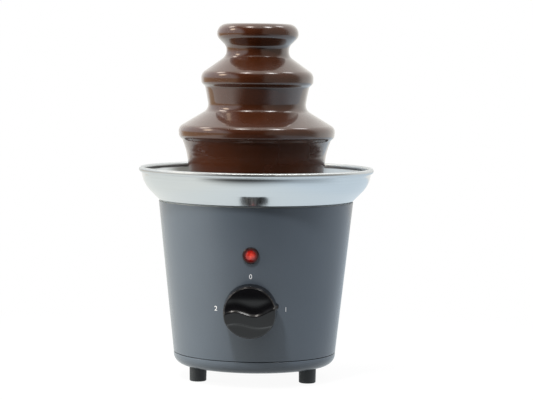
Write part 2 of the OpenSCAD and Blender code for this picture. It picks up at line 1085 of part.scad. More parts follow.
module terminal_screw() {
    z = cover_floor_z + 3;
    color("silver") {
        translate([terminal_x, terminal_y, 0]) {
            union() {
                rod(1.15, z - 2.6, 8);
                rod(2.6, z + 5, 1.8);
            }
        }
    }
}

// Ends that the leads run to, and their way through the window
function switch_tab(x) = front_point(knob_z, [x, 0, -pad_in - switch_depth - 6.25]);
function lamp_tab(x) = front_point(lamp_z, [x, 0, -20.25]);
function terminal(side, y) = [terminal_x + side * 5.7, terminal_y + y, cover_floor_z + 9.5];
function thermostat_tab(y) = [thermostat_x, y, heater_z - 9.75];
function element_pin(a) = [element_r * cos(a), element_r * sin(a), heater_z - 8.25];
function motor_tab(x) = [motor_x + x, motor_y, motor_z - 5.25];
function in_window(x, y, z) = [window_x + x, window_y + y, plate_z + z];

module supply_lead() {
    s = switch_tab(-7);
    t = terminal(1, -9.5);
    color("brown") {
        lead([t, t + [7, -4, 2], [-10, -20, (s[2] + t[2]) / 2], s + [-0.4, 3.4, -0.6], s], 1);
    }
}

module heater_leads() {
    s = switch_tab(-1.05);
    a = thermostat_tab(3);
    b = thermostat_tab(-3);
    l = element_pin(-element_lead - 93);
    r = element_pin(element_lead - 87);
    n = terminal(-1, 9.5);
    color("brown") {
        lead([s, s + [0, 3.2, 0.35], in_window(1.6, 3, (s[2] - plate_z) / 2), in_window(2, 3, -2),
            in_window(2, 3.4, 3), in_window(-4, 9, 6.4), [thermostat_x / 2, -9, plate_z + 6.4],
            a + [0.3, -0.6, -3.4], a - [0, 0, 1.7], a], 0.8);
        lead([b, b - [0, 0, 1.2], b + [0.2, -0.4, -2.4], b + [2.4, -12, -3.4], l + [-0.3, 0.3, -3.2],
            l], 1);
        lead([r, r + [0.2, -0.2, -3.2], in_window(13, 4, 5), in_window(13.3, 5, -1),
            in_window(13.6, 6, -8), in_window(13.5, 6.5, s[2] - plate_z),
            in_window(10.5, 6.5, knob_z - plate_z - 15), [-6, window_y + 7, knob_z - 25],
            [terminal_x + 6, -18, n[2] + 1], [terminal_x - 10, -4, n[2] - 0.4],
            n + [-9.3, -9.5, 0], n + [-6.8, -1, 0], n], 1);
    }
}

module motor_leads() {
    s = switch_tab(7);
    a = motor_tab(8);
    b = motor_tab(-8);
    n = terminal(1, 9.5);
    color("brown") {
        lead([s, s + [0, 1.7, 0.18], s + [0.2, 3.6, 0.1], [20, -8, (s[2] + a[2]) / 2 - 6],
            a + [1, -8, -6.5], a + [0.2, -0.8, -3.4], a - [0, 0, 1.7], a], 1);
        lead([b, b - [0, 0, 1.3], b + [-0.4, 0.1, -2.8], [-8, n[1] - 0.5, n[2] - 1.4], n], 1);
    }
}

module lamp_leads() {
    s = switch_tab(1.05);
    a = lamp_tab(2);
    b = lamp_tab(-2);
    pin = element_pin(element_lead - 87);
    color("brown") {
        lead([a, a + [0.2, 2.6, 0.2], in_window(4.6, -1.5, 8.5), in_window(5.8, 2.4, 3),
            in_window(5.8, 2.6, -2), in_window(3.8, 3.4, (s[2] - plate_z) / 2),
            s + [0.2, 3.2, 0.35], s], 0.8);
        lead([b, b + [0.1, 2.6, 0.3], [5, pin[1] - 8.8, pin[2] + 3.2],
            pin + [-1, -1.15, 2.4]], 0.8);
    }
}

module cord_gland() {
    b = gland_bore_d / 2;
    color("black") {
        on_wall(90, gland_z) {
            lathe([[b, -8], [5.4, -8], [6.8, -pad_in - 0.1], [6.1, -pad_in - 0.1], [6.1, 1.2],
                [8.6, 1.2], [8.6, 3], [6.8, 4.6], [b, 4.6]]);
        }
    }
}

module chocolate_pool() {
    t = bowl_wall + skin;
    side = [for (p = bowl_side(t)) if (p[1] < pool_z - 0.5) p];
    color("saddlebrown") {
        difference() {
            lathe(concat(
                [[flange_r + 0.5, pool_z], [flange_r + 0.5, floor_z + skin]],
                side,
                [[pool_z - cone_c - t * sqrt(2), pool_z]]));
            around(stud_circle_r, stud_angles) {
                rod(4.8, floor_z, 1.2);
            }
        }
    }
}

module tower_tube() {
    seat = [lower_top_z - hub_h, middle_top_z - hub_h];
    color("ivory") {
        difference() {
            lathe([[tube_bore_r, floor_z], [flange_r, floor_z],
                [flange_r, floor_z + 2.5], [flange_r - 0.8, floor_z + 3.3],
                [tube_r[2], floor_z + 3.3], [tube_r[2], seat[0]], [tube_r[1], seat[0]],
                [tube_r[1], seat[1]], [tube_r[0], seat[1]], [tube_r[0], tube_top_z],
                [tube_bore_r, tube_top_z]]);
            around(post_circle_r, [0, 120, 240]) {
                rod(2.35, floor_z - 1, 6);
            }
            around(0, [60, 180, 300]) {
                translate([8, -7, floor_z + 3.3]) {
                    cube([20, 14, 16]);
                }
            }
        }
    }
}

// Tier whose hub slides over the tube
module tier(lip_r, lip_z, slope, bore_r) {
    top = tier_surface(lip_r, lip_z, slope, tier_hub_r, 0);
    lathe(rounded([[lip_r, lip_z], [lip_r, lip_z + tier_edge_h, 2.4], [tier_hub_r, top],
        [bore_r, top], [bore_r, top - hub_h], [tier_hub_r, top - hub_h],
        [tier_hub_r, top - tier_wall / cos(slope)],
        [lip_r - tier_wall, tier_corner(lip_z, slope, -tier_wall), 1],
        [lip_r - tier_wall, lip_z]]));
}

module lower_tier() {
    color("ivory") {
        tier(lower_lip_r, lower_z, lower_slope, tube_r[1] + slide);
    }
}

module middle_tier() {
    color("ivory") {
        tier(middle_lip_r, middle_z, middle_slope, tube_r[0] + slide);
    }
}

module crown_tier() {
    foot_z = middle_top_z + 0.4;
    color("ivory") {
        lathe([[tier_hub_r, foot_z], [tier_hub_r, flare_c + tier_hub_r],
            [crown_lip_r, crown_edge_z], [crown_lip_r, crown_z],
            [crown_lip_r - tier_wall, crown_z],
            [crown_lip_r - tier_wall, cup_c + crown_lip_r - tier_wall],
            [tube_bore_r, cup_c + tube_bore_r], [tube_bore_r, tube_top_z],
            [tube_r[0] + slide, tube_top_z], [tube_r[0] + slide, foot_z]]);
    }
}

// Outline of the chocolate that runs down the tower
function flow_outline() =
    let(
        k = sqrt(2) - 1,
        neck_r = tier_hub_r + coat,
        low_z = lower_z - drip_h,
        mid_z = middle_z - drip_h,
        cup_z = cup_c + crown_lip_r - tier_wall + 0.4,
        curtain_mid_z = (low_z + pool_z) / 2 + 11,
        outside = [
            [0, crown_z + dome_h],
            [crown_lip_r - 3, crown_z + dome_h, 11],
            [crown_lip_r + coat + 1.7, crown_edge_z + 0.9, 5.5],
            [neck_r, flare_c + tier_hub_r - coat * k, 6],
            [neck_r, tier_surface(middle_lip_r, middle_z, middle_slope, neck_r, coat), 7],
            [middle_lip_r + coat, tier_corner(middle_z, middle_slope, coat), 6.2],
            [middle_lip_r + coat - 0.3, mid_z, 3.4],
            [middle_lip_r - 0.4, mid_z - 2.2, 2],
            [waist_r, tier_surface(lower_lip_r, lower_z, lower_slope, waist_r, coat), 9],
            [lower_lip_r + coat, tier_corner(lower_z, lower_slope, coat), 5.5],
            [lower_lip_r + coat - 0.3, low_z, 3.4],
            [lower_lip_r - 0.2, low_z - 2.2, 2],
            [curtain_mid_r, curtain_mid_z, 40],
            [curtain_foot_r, pool_z + skin]],
        inside = [
            [curtain_foot_r - film, pool_z + skin],
            [curtain_mid_r - film, curtain_mid_z, 40],
            [lower_lip_r - 0.2 - film, lower_z - skin],
            [lower_lip_r + skin, lower_z - skin],
            [lower_lip_r + skin, tier_corner(lower_z, lower_slope, skin)],
            [waist_r - film,
                tier_surface(lower_lip_r, lower_z, lower_slope, waist_r - film, skin)],
            [middle_lip_r - 0.4 - film, middle_z - skin],
            [middle_lip_r + skin, middle_z - skin],
            [middle_lip_r + skin, tier_corner(middle_z, middle_slope, skin)],
            [tier_hub_r + skin,
                tier_surface(middle_lip_r, middle_z, middle_slope, tier_hub_r + skin, skin)],
            [tier_hub_r + skin, flare_c + tier_hub_r - skin * k],
            [crown_lip_r + skin, crown_edge_z - skin * k],
            [crown_lip_r + skin, crown_z + skin],
            [crown_lip_r - tier_wall - skin, crown_z + skin],
            [crown_lip_r - tier_wall - skin, cup_z],
            [0, cup_z]]
    )
    rounded(concat(outside, inside));

// Heights where the chocolate of one tier gives over to the next
neck_z = tier_surface(middle_lip_r, middle_z, middle_slope, tier_hub_r + coat, coat) + 1.5;
waist_z = tier_surface(lower_lip_r, lower_z, lower_slope, waist_r, coat) + 3.5;

// Chocolate between two heights
module flow(z0, z1) {
    color("saddlebrown") {
        intersection() {
            lathe(flow_outline());
            rod(bowl_rim_r, z0, z1 - z0);
        }
    }
}

module chocolate_crown() {
    flow(neck_z, crown_z + dome_h + 1);
}

module chocolate_middle() {
    flow(waist_z, neck_z);
}

module chocolate_lower() {
    flow(pool_z, waist_z);
}

module drive_shaft() {
    color("silver") {
        union() {
            rod(shaft_r, shaft_end_z, coupling_z - shaft_end_z);
            intersection() {
                rod(shaft_r, coupling_z - 1, 8.6);
                hex(drive_af, coupling_z - 1, 8.6);
            }
        }
    }
}

module shaft_collar() {
    color("silver") {
        ring(shaft_r + 0.02, shaft_r + 3, hub_stem_z - 5, 4.6);
    }
}

module auger_coupling() {
    color("ivory") {
        difference() {
            lathe([[0, coupling_z], [7.4, coupling_z], [8, coupling_z + 0.6],
                [8, auger_z - 2], [auger_core_r + 0.6, auger_z], [0, auger_z]]);
            hex(drive_af + 0.2, coupling_z - 1, 8.8);
        }
    }
}

module auger() {
    l = auger_top_z - auger_z;
    wrap = 46;
    color("ivory") {
        translate([0, 0, auger_z]) {
            linear_extrude(height = l, twist = -360 * l / auger_pitch,
                slices = ceil(16 * l / auger_pitch), $fn = 15) {
                polygon(concat(
                    arc([0, 0], auger_r, -wrap / 2, wrap / 2, 4),
                    arc([0, 0], auger_core_r, wrap / 2 + 8, 352 - wrap / 2, 9)));
            }
        }
    }
}

// Gear in the plane z = 0, with a gap of its teeth at angle 0
module gear_plan(teeth) {
    pr = gear_m * teeth / 2;
    tip = pr + gear_add;
    root = pr - 1.05 * gear_m;
    half = 90 / teeth - 0.075 / pr * 180 / PI;
    lean = gear_m * tan(25) * 180 / PI / pr;
    polygon([for (i = [0:teeth - 1])
        let(c = 360 / teeth * (i + 0.5))
        each [
            root * [cos(c - half - lean * 0.9), sin(c - half - lean * 0.9)],
            pr * [cos(c - half), sin(c - half)],
            tip * [cos(c - half + lean * 0.8), sin(c - half + lean * 0.8)],
            tip * [cos(c + half - lean * 0.8), sin(c + half - lean * 0.8)],
            pr * [cos(c + half), sin(c + half)],
            root * [cos(c + half + lean * 0.9), sin(c + half + lean * 0.9)]]]);
}

module gear(teeth, z, w, phase) {
    rotate([0, 0, phase]) {
        translate([0, 0, z]) {
            linear_extrude(height = w) {
                gear_plan(teeth);
            }
        }
    }
}

module output_gear() {
    web_r = output_pr - 5;
    color("ivory") {
        difference() {
            gear(output_teeth, output_z, gear_w, 90);
            rod(shaft_r + 0.02, output_z - 1, gear_w + 2);
            translate([0, 0, output_z + gear_w - 1.4]) {
                difference() {
                    cylinder(r = web_r + 2, h = 3);
                    translate([0, 0, -1]) {
                        cylinder(r = shaft_r + 3, h = 5);
                    }
                }
            }
        }
    }
}

module idler_gear() {
    wheel_phase = motor_a;
    pinion_phase = 270 + 180 / pinion_teeth;
    color("ivory") {
        translate([0, idler_y, 0]) {
            difference() {
                union() {
                    gear(idler_teeth, wheel_z, gear_w, wheel_phase);
                    gear(pinion_teeth, output_z, gear_w + 1.5, pinion_phase);
                }
                rod(2 + run, output_z - 1, 2 * gear_w + 3);
            }
        }
    }
}

module motor_pinion() {
    color("goldenrod") {
        translate([motor_x, motor_y, 0]) {
            difference() {
                gear(pinion_teeth, wheel_z - 0.2, gear_w, 180 + motor_a + 180 / pinion_teeth);
                rod(1.62, wheel_z - 1, gear_w + 2);
            }
        }
    }
}

module motor_rotor() {
    color("peru") {
        translate([motor_x, motor_y, 0]) {
            union() {
                difference() {
                    rod(motor_r - 5.2, motor_z + 5, motor_l - 12);
                    around(motor_r - 7.6, [0, 120, 240]) {
                        translate([0, -1.5, motor_z + 4]) {
                            cube([6, 3, motor_l]);
                        }
                    }
                }
                rod(1.6, motor_z - 1, wheel_z + gear_w - motor_z + 0.6);
            }
        }
    }
}

housing();
bottom_cover();
foot_front_left();
foot_front_right();
foot_rear();
cover_screws();
bowl();
bowl_gasket();
bowl_studs();
tower_posts();
heater_plate();
heating_element();
thermostat();
motor_plate();
spacer_sleeves();
stud_nuts();
plate_screws();
shaft_hub();
hub_nut();
shaft_bush();
shaft_seal();
gearbox_case();
gearbox_screws();
idler_pin();
motor_can();
motor_endcap();
motor_magnets();
motor_screws();
rotary_switch();
switch_nut();
lamp_body();
lamp_bezel();
lamp_lens();
lamp_clip();
terminal_block();
terminal_screw();
cord_gland();
chocolate_pool();
tower_tube();
crown_tier();
middle_tier();
lower_tier();
chocolate_crown();
chocolate_middle();
chocolate_lower();
drive_shaft();
shaft_collar();
auger_coupling();
auger();
output_gear();
idler_gear();
motor_rotor();
motor_pinion();
knob();
switch_spindle();
motor_terminals();
supply_lead();
heater_leads();
motor_leads();
lamp_leads();
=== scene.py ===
import json
from math import acos, atan, atan2, ceil, cos, exp, hypot, pi, radians, sin, sqrt, tan

import bmesh
import bpy
from bpy.props import FloatProperty, FloatVectorProperty, IntProperty, PointerProperty
from mathutils import Matrix, Vector


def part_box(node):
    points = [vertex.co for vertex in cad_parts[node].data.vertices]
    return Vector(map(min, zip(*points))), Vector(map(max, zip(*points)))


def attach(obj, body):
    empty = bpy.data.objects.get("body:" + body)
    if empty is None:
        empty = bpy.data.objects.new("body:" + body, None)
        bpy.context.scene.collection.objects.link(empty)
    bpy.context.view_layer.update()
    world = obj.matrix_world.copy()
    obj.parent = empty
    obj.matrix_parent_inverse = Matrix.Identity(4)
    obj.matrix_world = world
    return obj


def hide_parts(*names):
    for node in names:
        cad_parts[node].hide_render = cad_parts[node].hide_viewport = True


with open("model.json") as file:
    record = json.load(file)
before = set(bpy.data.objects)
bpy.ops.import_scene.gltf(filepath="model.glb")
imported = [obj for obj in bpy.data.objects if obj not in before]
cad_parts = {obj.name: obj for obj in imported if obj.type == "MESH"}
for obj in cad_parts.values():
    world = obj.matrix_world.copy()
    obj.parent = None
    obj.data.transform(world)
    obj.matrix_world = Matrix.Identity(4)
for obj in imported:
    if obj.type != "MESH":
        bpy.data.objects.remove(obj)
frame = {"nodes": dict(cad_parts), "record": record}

bl_info = {
    "name": "Chocolate Fountain",
    "version": (1, 0, 0),
    "blender": (4, 5, 0),
    "location": "3D View > Sidebar > Fountain",
    "description": "Dresses the packed chocolate fountain with its visible pieces, finishes and studio",
    "category": "Object",
}

MM = 0.001
MERGE = 1e-7  # distance at which two points are one
FRONT, BACK = -90, 90  # places on the wall, in degrees round the Z axis
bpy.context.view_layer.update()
SLOT_OF = {row["node"]: row["material_slot"] for row in frame["record"]["subparts"]}
FOOT_LOW, FOOT_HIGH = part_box("foot_rear")
AUGER_LOW, AUGER_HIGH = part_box("auger")
CROWN_LOW, CROWN_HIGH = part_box("chocolate_crown")
MIDDLE_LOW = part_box("chocolate_middle")[0]
LOWER_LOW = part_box("chocolate_lower")[0]
FINISH = {}

# Kinds of node that are used often, and settings that go with them
MATH, VECTOR, RANGE, MIX = "ShaderNodeMath", "ShaderNodeVectorMath", "ShaderNodeMapRange", "ShaderNodeMix"
NOISE, BUMP, PRINCIPLED = "ShaderNodeTexNoise", "ShaderNodeBump", "ShaderNodeBsdfPrincipled"
SEPARATE, COMBINE = "ShaderNodeSeparateXYZ", "ShaderNodeCombineXYZ"
SMOOTH = {"interpolation_type": "SMOOTHSTEP"}
RGBA = {"data_type": "RGBA"}


def linear(colour):
    """Linear RGBA of an sRGB hex colour."""
    parts = [int(colour[i:i + 2], 16) / 255 for i in (1, 3, 5)]
    return [c / 12.92 if c <= 0.04045 else ((c + 0.055) / 1.055) ** 2.4 for c in parts] + [1.0]


def length(name, description, millimetres):
    """A length property whose default is given in millimetres."""
    return FloatProperty(name=name, description=description, default=millimetres * MM, unit="LENGTH",
                         precision=4)


def incline(name, description, degrees):
    """An angle property whose default is given in degrees."""
    return FloatProperty(name=name, description=description, default=radians(degrees), subtype="ANGLE")


def paint(name, description, colour):
    """A colour property whose default is given as an sRGB hex value."""
    return FloatVectorProperty(name=name, description=description, default=linear(colour), size=4,
                               min=0, max=1, subtype="COLOR")


class FountainBase(bpy.types.PropertyGroup):
    """Sizes of the tapered base."""
    seam_z: length("Parting line", "Height of the line between cover and housing", 18.7)
    top_z: length("Top edge", "Height of the housing's top edge", 125.2)
    bottom_r: length("Bottom radius", "Outside radius at the parting line", 57)
    top_r: length("Top radius", "Outside radius at the top edge", 68.4)
    wall: length("Wall", "Thickness of the housing and the cover", 2.4)
    cover_edge_r: length("Cover edge", "Radius of the cover's rounded lower edge", 7.6)
    foot_h: length("Foot height", "Height of a rubber foot", FOOT_HIGH.z / MM)
    foot_d: length("Foot diameter", "Diameter of a rubber foot", (FOOT_HIGH.x - FOOT_LOW.x) / MM)
    foot_circle_r: length("Foot circle", "Radius of the circle that the feet stand on",
                          (FOOT_LOW.y + FOOT_HIGH.y) / 2 / MM)
    vents: IntProperty(name="Vents", description="Number of slots in the cover", default=10, min=3)
    gland_z: length("Gland height", "Height of the cord gland", 40.7)


class FountainBowl(bpy.types.PropertyGroup):
    """Sizes of the spun bowl and the pool in it."""
    rim_r: length("Rim radius", "Outside radius of the wall at the rim", 80.6)
    depth: length("Depth", "Depth from the middle of the bead to the floor", 35)
    bend_r: length("Rim bend", "Radius of the bend under the rim", 21)
    floor_bend_r: length("Floor bend", "Radius of the bend into the floor", 12)
    sheet: length("Sheet", "Thickness of the metal", 0.8)
    bead_r: length("Bead", "Radius of the rolled rim", 1.8)
    gasket: length("Gasket", "Thickness of the gasket under the bowl", 0.5)
    hub_r: length("Hub hole", "Radius of the hole for the shaft's hub", 8)
    pool_h: length("Pool depth", "Depth of the chocolate", 14)


class FountainTower(bpy.types.PropertyGroup):
    """Sizes of the chocolate that runs down the tower, and of the auger."""
    lower_lip_r: length("Lower lip", "Radius of the lower tier's lip", 52.4)
    lower_lip_h: length("Lower lip height", "Height of the lower lip above the bowl's floor", 59.2)
    lower_slope: incline("Lower slope", "Slope of the lower tier", 30.7)
    middle_lip_r: length("Middle lip", "Radius of the middle tier's lip", 37.1)
    middle_lip_h: length("Middle lip height", "Height of the middle lip above the bowl's floor", 96.6)
    middle_slope: incline("Middle slope", "Slope of the middle tier", 37.6)
    crown_lip_r: length("Crown", "Radius of the crown's rim", 26.5)
    crown_rim_h: length("Crown height", "Height of the crown's rim above the bowl's floor", 134.2)
    edge_h: length("Tier edge", "Height of the upright edge of a tier", 3.8)
    hub_r: length("Tier hub", "Radius of the tiers' hubs", 19.6)
    shell: length("Tier shell", "Thickness of the tiers", 1.5)
    coat: length("Coat", "Thickness of the chocolate on the tiers", 2.5)
    film: length("Film", "Thickness of the falling curtains", 2.4)
    skin: length("Skin", "Gap between the chocolate and what it runs over", 0.25)
    dome_h: length("Dome", "Height of the chocolate above the crown", 2.9)
    drip_h: length("Drip", "Distance that a curtain hangs below its lip", 1.2)
    waist_r: length("Waist", "Radius of the upper curtain on the lower tier", 33.7)
    curtain_mid_r: length("Curtain middle", "Radius of the lower curtain at half its height", 49.1)
    curtain_foot_r: length("Curtain foot", "Radius of the lower curtain at the pool", 45.4)
    ripple: length("Ripple", "Height of the ripples in the falling chocolate", 0.16)
    auger_core_r: length("Auger core", "Radius of the auger's core", 5)
    auger_pitch: length("Auger pitch", "Rise of the auger's flight in one turn", 18)
    flight_t: length("Flight", "Thickness of the auger's flight", 2.2)


class FountainControls(bpy.types.PropertyGroup):
    """Sizes of the knob, its dial and the pilot lamp."""
    knob_z: length("Knob height", "Height of the knob's middle on the wall", 55.3)
    knob_r: length("Knob radius", "Radius of the knob's skirt", 18.3)
    knob_gap: length("Knob gap", "Gap between the knob and the wall", 1.2)
    knob_rim_h: length("Knob rim", "Height of the knob's rim in front of the wall", 8.4)
    knob_grip_h: length("Knob grip", "Height of the grip in front of the wall", 15)
    grip_t: length("Grip", "Thickness of the grip along its top", 8.7)
    grip_swing: length("Grip swing", "Sideways swing of the S-shaped grip", 2.5)
    mark_h: length("Mark", "Height of a number on the dial", 3.3)
    mark_up: length("Upper mark", "Distance of the upper number from the knob's middle", 22.8)
    mark_side: length("Side marks", "Distance of the side numbers from the knob's middle", 24.4)
    lamp_z: length("Lamp height", "Height of the lamp on the wall", 92.4)
    bezel_d: length("Bezel", "Diameter of the lamp's bezel", 11.4)
    lens_d: length("Lens", "Diameter of the lamp's lens", 7)


class FountainColours(bpy.types.PropertyGroup):
    """Colours of the finishes that show."""
    housing: paint("Housing", "Moulded grey of the base", "#545d67")
    chocolate: paint("Chocolate", "Molten chocolate", "#391b0c")
    metal: paint("Bowl", "Spun metal of the bowl", "#d6dbde")
    knob: paint("Knob", "Gloss black of the knob", "#0d0d0f")
    lens: paint("Lens", "Lit red of the lamp", "#7a0d08")
    mark: paint("Marks", "Printed numbers on the dial", "#fbfdff")


# Nodes and finishes

def add(tree, kind, given=None):
    """Adds a node. Each thing given is an attribute, an input's value, or the socket or node that feeds an input.

    A node feeds through the first of its outputs that is in use.
    """
    made = tree.nodes.new(kind)
    for key, value in (given or {}).items():
        if isinstance(value, bpy.types.Node):
            value = next(socket for socket in value.outputs if socket.enabled)
        if isinstance(value, bpy.types.NodeSocket):
            tree.links.new(value, made.inputs[key])
        elif isinstance(key, str) and hasattr(made, key):
            setattr(made, key, value)
        else:
            made.inputs[key].default_value = value
    return made


def start_finish(name):
    """A new material with an empty tree, and its Object coordinates."""
    material = bpy.data.materials.new(name)
    material.use_nodes = True
    tree = material.node_tree
    tree.nodes.clear()
    return material, tree, add(tree, "ShaderNodeTexCoord").outputs["Object"]


def end_finish(material, shader):
    """Joins a shader to the material's output."""
    add(material.node_tree, "ShaderNodeOutputMaterial", {"Surface": shader})
    return material


def shade(colour, factor):
    """A colour made lighter or darker."""
    return [min(1.0, c * factor) for c in colour[:3]] + [1.0]


def grained(name, dark, light, roughness, grain, bump, cloud, metallic=0.0, **more):
    """A finish whose colour clouds between two tones, over a fine grain.

    roughness is the range that the clouds run through. The sizes of grain and cloud and the depth of the
    grain's bump are in millimetres.
    """
    material, tree, place = start_finish(name)
    clouds = add(tree, NOISE, {"Vector": place, "Scale": 1 / (cloud * MM), "Detail": 4.0, "Roughness": 0.6})
    fine = add(tree, NOISE, {"Vector": place, "Scale": 1 / (grain * MM), "Detail": 2.0})
    both = add(tree, MIX, {0: 0.4, 2: clouds, 3: fine})
    tone = add(tree, RANGE, {"Value": both, "From Min": 0.35, "From Max": 0.65})
    colour = add(tree, MIX, {**RGBA, 0: tone, 6: dark, 7: light})
    rough = add(tree, RANGE, {"Value": clouds, "From Min": 0.3, "From Max": 0.7,
                              "To Min": roughness[0], "To Max": roughness[1]})
    relief = add(tree, BUMP, {"Height": fine, "Strength": 1.0, "Distance": bump * MM})
    return end_finish(material, add(tree, PRINCIPLED, {
        "Base Color": colour, "Metallic": metallic, "Roughness": rough, "Normal": relief, **more}))


def spun_aluminium(colour):
    """Aluminium, spun on a lathe and rubbed to a satin.

    Fine rings run round it and draw each highlight out across the rings. The real rings are about 0.1 mm
    apart, and are drawn 0.9 mm apart so that they show.
    """
    material, tree, place = start_finish("aluminium_spun_satin")
    x, y, z = add(tree, SEPARATE, {0: place}).outputs
    radius = add(tree, VECTOR, {"operation": "LENGTH", 0: add(tree, COMBINE, {0: x, 1: y})})
    along = add(tree, MATH, {"operation": "ADD", 0: radius, 1: z})
    rings = add(tree, NOISE, {"noise_dimensions": "1D", "W": along, "Scale": 1 / (0.9 * MM), "Detail": 3.0})
    clouds = add(tree, NOISE, {"Vector": place, "Scale": 1 / (25 * MM), "Detail": 3.0})
    tone = add(tree, MIX, {**RGBA, 0: rings, 6: shade(colour, 0.94), 7: shade(colour, 1.03)})
    buffed = add(tree, RANGE, {"Value": clouds, "From Min": 0.3, "From Max": 0.7,
                               "To Min": 0.13, "To Max": 0.18})
    # The rolled bead is rougher, because it is left as it came off the lathe
    bead_z, blur = levels()["rim"] - bpy.context.scene.fountain_bowl.bead_r, 0.4 * MM
    bead = add(tree, RANGE, {"Value": z, "From Min": bead_z - blur, "From Max": bead_z + blur, "To Max": 0.22})
    rough = add(tree, MATH, {"operation": "ADD", 0: buffed, 1: bead})
    relief = add(tree, BUMP, {"Height": rings, "Strength": 1.0, "Distance": 0.002 * MM})
    tangent = add(tree, "ShaderNodeTangent", {"direction_type": "RADIAL", "axis": "Z"})
    return end_finish(material, add(tree, PRINCIPLED, {
        "Base Color": tone, "Metallic": 1.0, "Roughness": rough, "Anisotropic": 0.4, "Normal": relief,
        "Tangent": tangent}))


def molten_chocolate(colour):
    """Couverture, melted and running.

    A wet, very smooth skin over a warm brown body: sharp reflections, with faint darker streaks down the flow.
    """
    material, tree, place = start_finish("couverture_molten_gloss")
    drawn_down = add(tree, VECTOR, {"operation": "MULTIPLY", 0: place, 1: (1, 1, 0.15)})
    streaks = add(tree, NOISE, {"Vector": drawn_down, "Scale": 1 / (9 * MM), "Detail": 3.0, "Roughness": 0.55})
    skin = add(tree, NOISE, {"Vector": place, "Scale": 1 / (30 * MM), "Detail": 1.0})
    tone = add(tree, RANGE, {"Value": streaks, "From Min": 0.3, "From Max": 0.7})
    body = add(tree, MIX, {**RGBA, 0: tone, 6: shade(colour, 0.88), 7: shade(colour, 1.1)})
    rough = add(tree, RANGE, {"Value": skin, "From Min": 0.3, "From Max": 0.7, "To Min": 0.2, "To Max": 0.3})
    relief = add(tree, BUMP, {"Height": skin, "Strength": 1.0, "Distance": 0.02 * MM})
    return end_finish(material, add(tree, PRINCIPLED, {
        "Base Color": body, "Roughness": rough, "IOR": 1.46, "Normal": relief,
        "Coat Weight": 1.0, "Coat Roughness": 0.05, "Coat IOR": 1.68}))


def coated_plastic():
    """Polypropylene, moulded ivory, that the chocolate has run over.

    Pale satin plastic under a patchy, glossy brown film that drains downwards.
    """
    material, tree, place = start_finish("polypropylene_ivory_with_film")
    drawn_down = add(tree, VECTOR, {"operation": "MULTIPLY", 0: place, 1: (1, 1, 0.3)})
    runs = add(tree, NOISE, {"Vector": drawn_down, "Scale": 1 / (7 * MM), "Detail": 4.0, "Roughness": 0.5})
    film = add(tree, RANGE, {**SMOOTH, "Value": runs, "From Min": 0.3, "From Max": 0.38})
    colour = add(tree, MIX, {**RGBA, 0: film, 6: linear("#dcd4c2"), 7: linear("#3f2113")})
    rough = add(tree, RANGE, {"Value": film, "To Min": 0.4, "To Max": 0.14})
    relief = add(tree, BUMP, {"Height": film, "Strength": 1.0, "Distance": 0.12 * MM})
    return end_finish(material, add(tree, PRINCIPLED, {
        "Base Color": colour, "Roughness": rough, "IOR": 1.49, "Normal": relief}))


def lit_lens(colour, middle, lens_d):
    """Polycarbonate, moulded clear red with facets, lit from behind.

    The middle of the lens glows nearly orange and its edge falls off to a deep red.
    """
    material, tree, place = start_finish("polycarbonate_red_lit")
    away = add(tree, VECTOR, {"operation": "DISTANCE", 0: place, 1: middle})
    inwards = add(tree, RANGE, {"Value": away, "From Min": lens_d * 0.25, "From Max": lens_d * 0.5,
                                "To Min": 0.95, "To Max": 0.0})
    cells = add(tree, "ShaderNodeTexVoronoi", {"Vector": place, "Scale": 1 / (1.6 * MM)})
    spread = add(tree, RANGE, {"Value": cells, "From Max": 0.7, "To Min": 1.3, "To Max": 0.45})
    glow = add(tree, MATH, {"operation": "MULTIPLY", 0: inwards, 1: spread})
    light = add(tree, MIX, {**RGBA, 0: glow, 6: linear("#5a0806"), 7: linear("#ff5a48")})
    return end_finish(material, add(tree, PRINCIPLED, {
        "Base Color": colour, "Roughness": 0.12, "IOR": 1.58, "Emission Color": light, "Emission Strength": 0.8}))


def dark_bezel(middle, lens_d, bezel_d):
    """Polycarbonate, moulded smoky black, with a painted glow of the lamp's light on it.

    Nearly black and glossy, with a painted red glow close to the lens: emission that stands in for the lamp's
    light falling on the bezel.
    """
    material, tree, place = start_finish("polycarbonate_smoked_bezel")
    away = add(tree, VECTOR, {"operation": "DISTANCE", 0: place, 1: middle})
    # Painted glow: red emission that stands in for the lamp's light, strongest at the lens and fading out towards
    # the bezel's edge
    painted_lamp_glow = add(tree, RANGE, {"Value": away, "From Min": lens_d * 0.5, "From Max": bezel_d * 0.48,
                              "To Min": 0.16, "To Max": 0.0})
    scuffs = add(tree, NOISE, {"Vector": place, "Scale": 1 / (2 * MM)})
    rough = add(tree, RANGE, {"Value": scuffs, "To Min": 0.12, "To Max": 0.3})
    return end_finish(material, add(tree, PRINCIPLED, {
        "Base Color": linear("#180b0b"), "Roughness": rough, "Emission Color": linear("#d01a10"),
        "Emission Strength": painted_lamp_glow}))


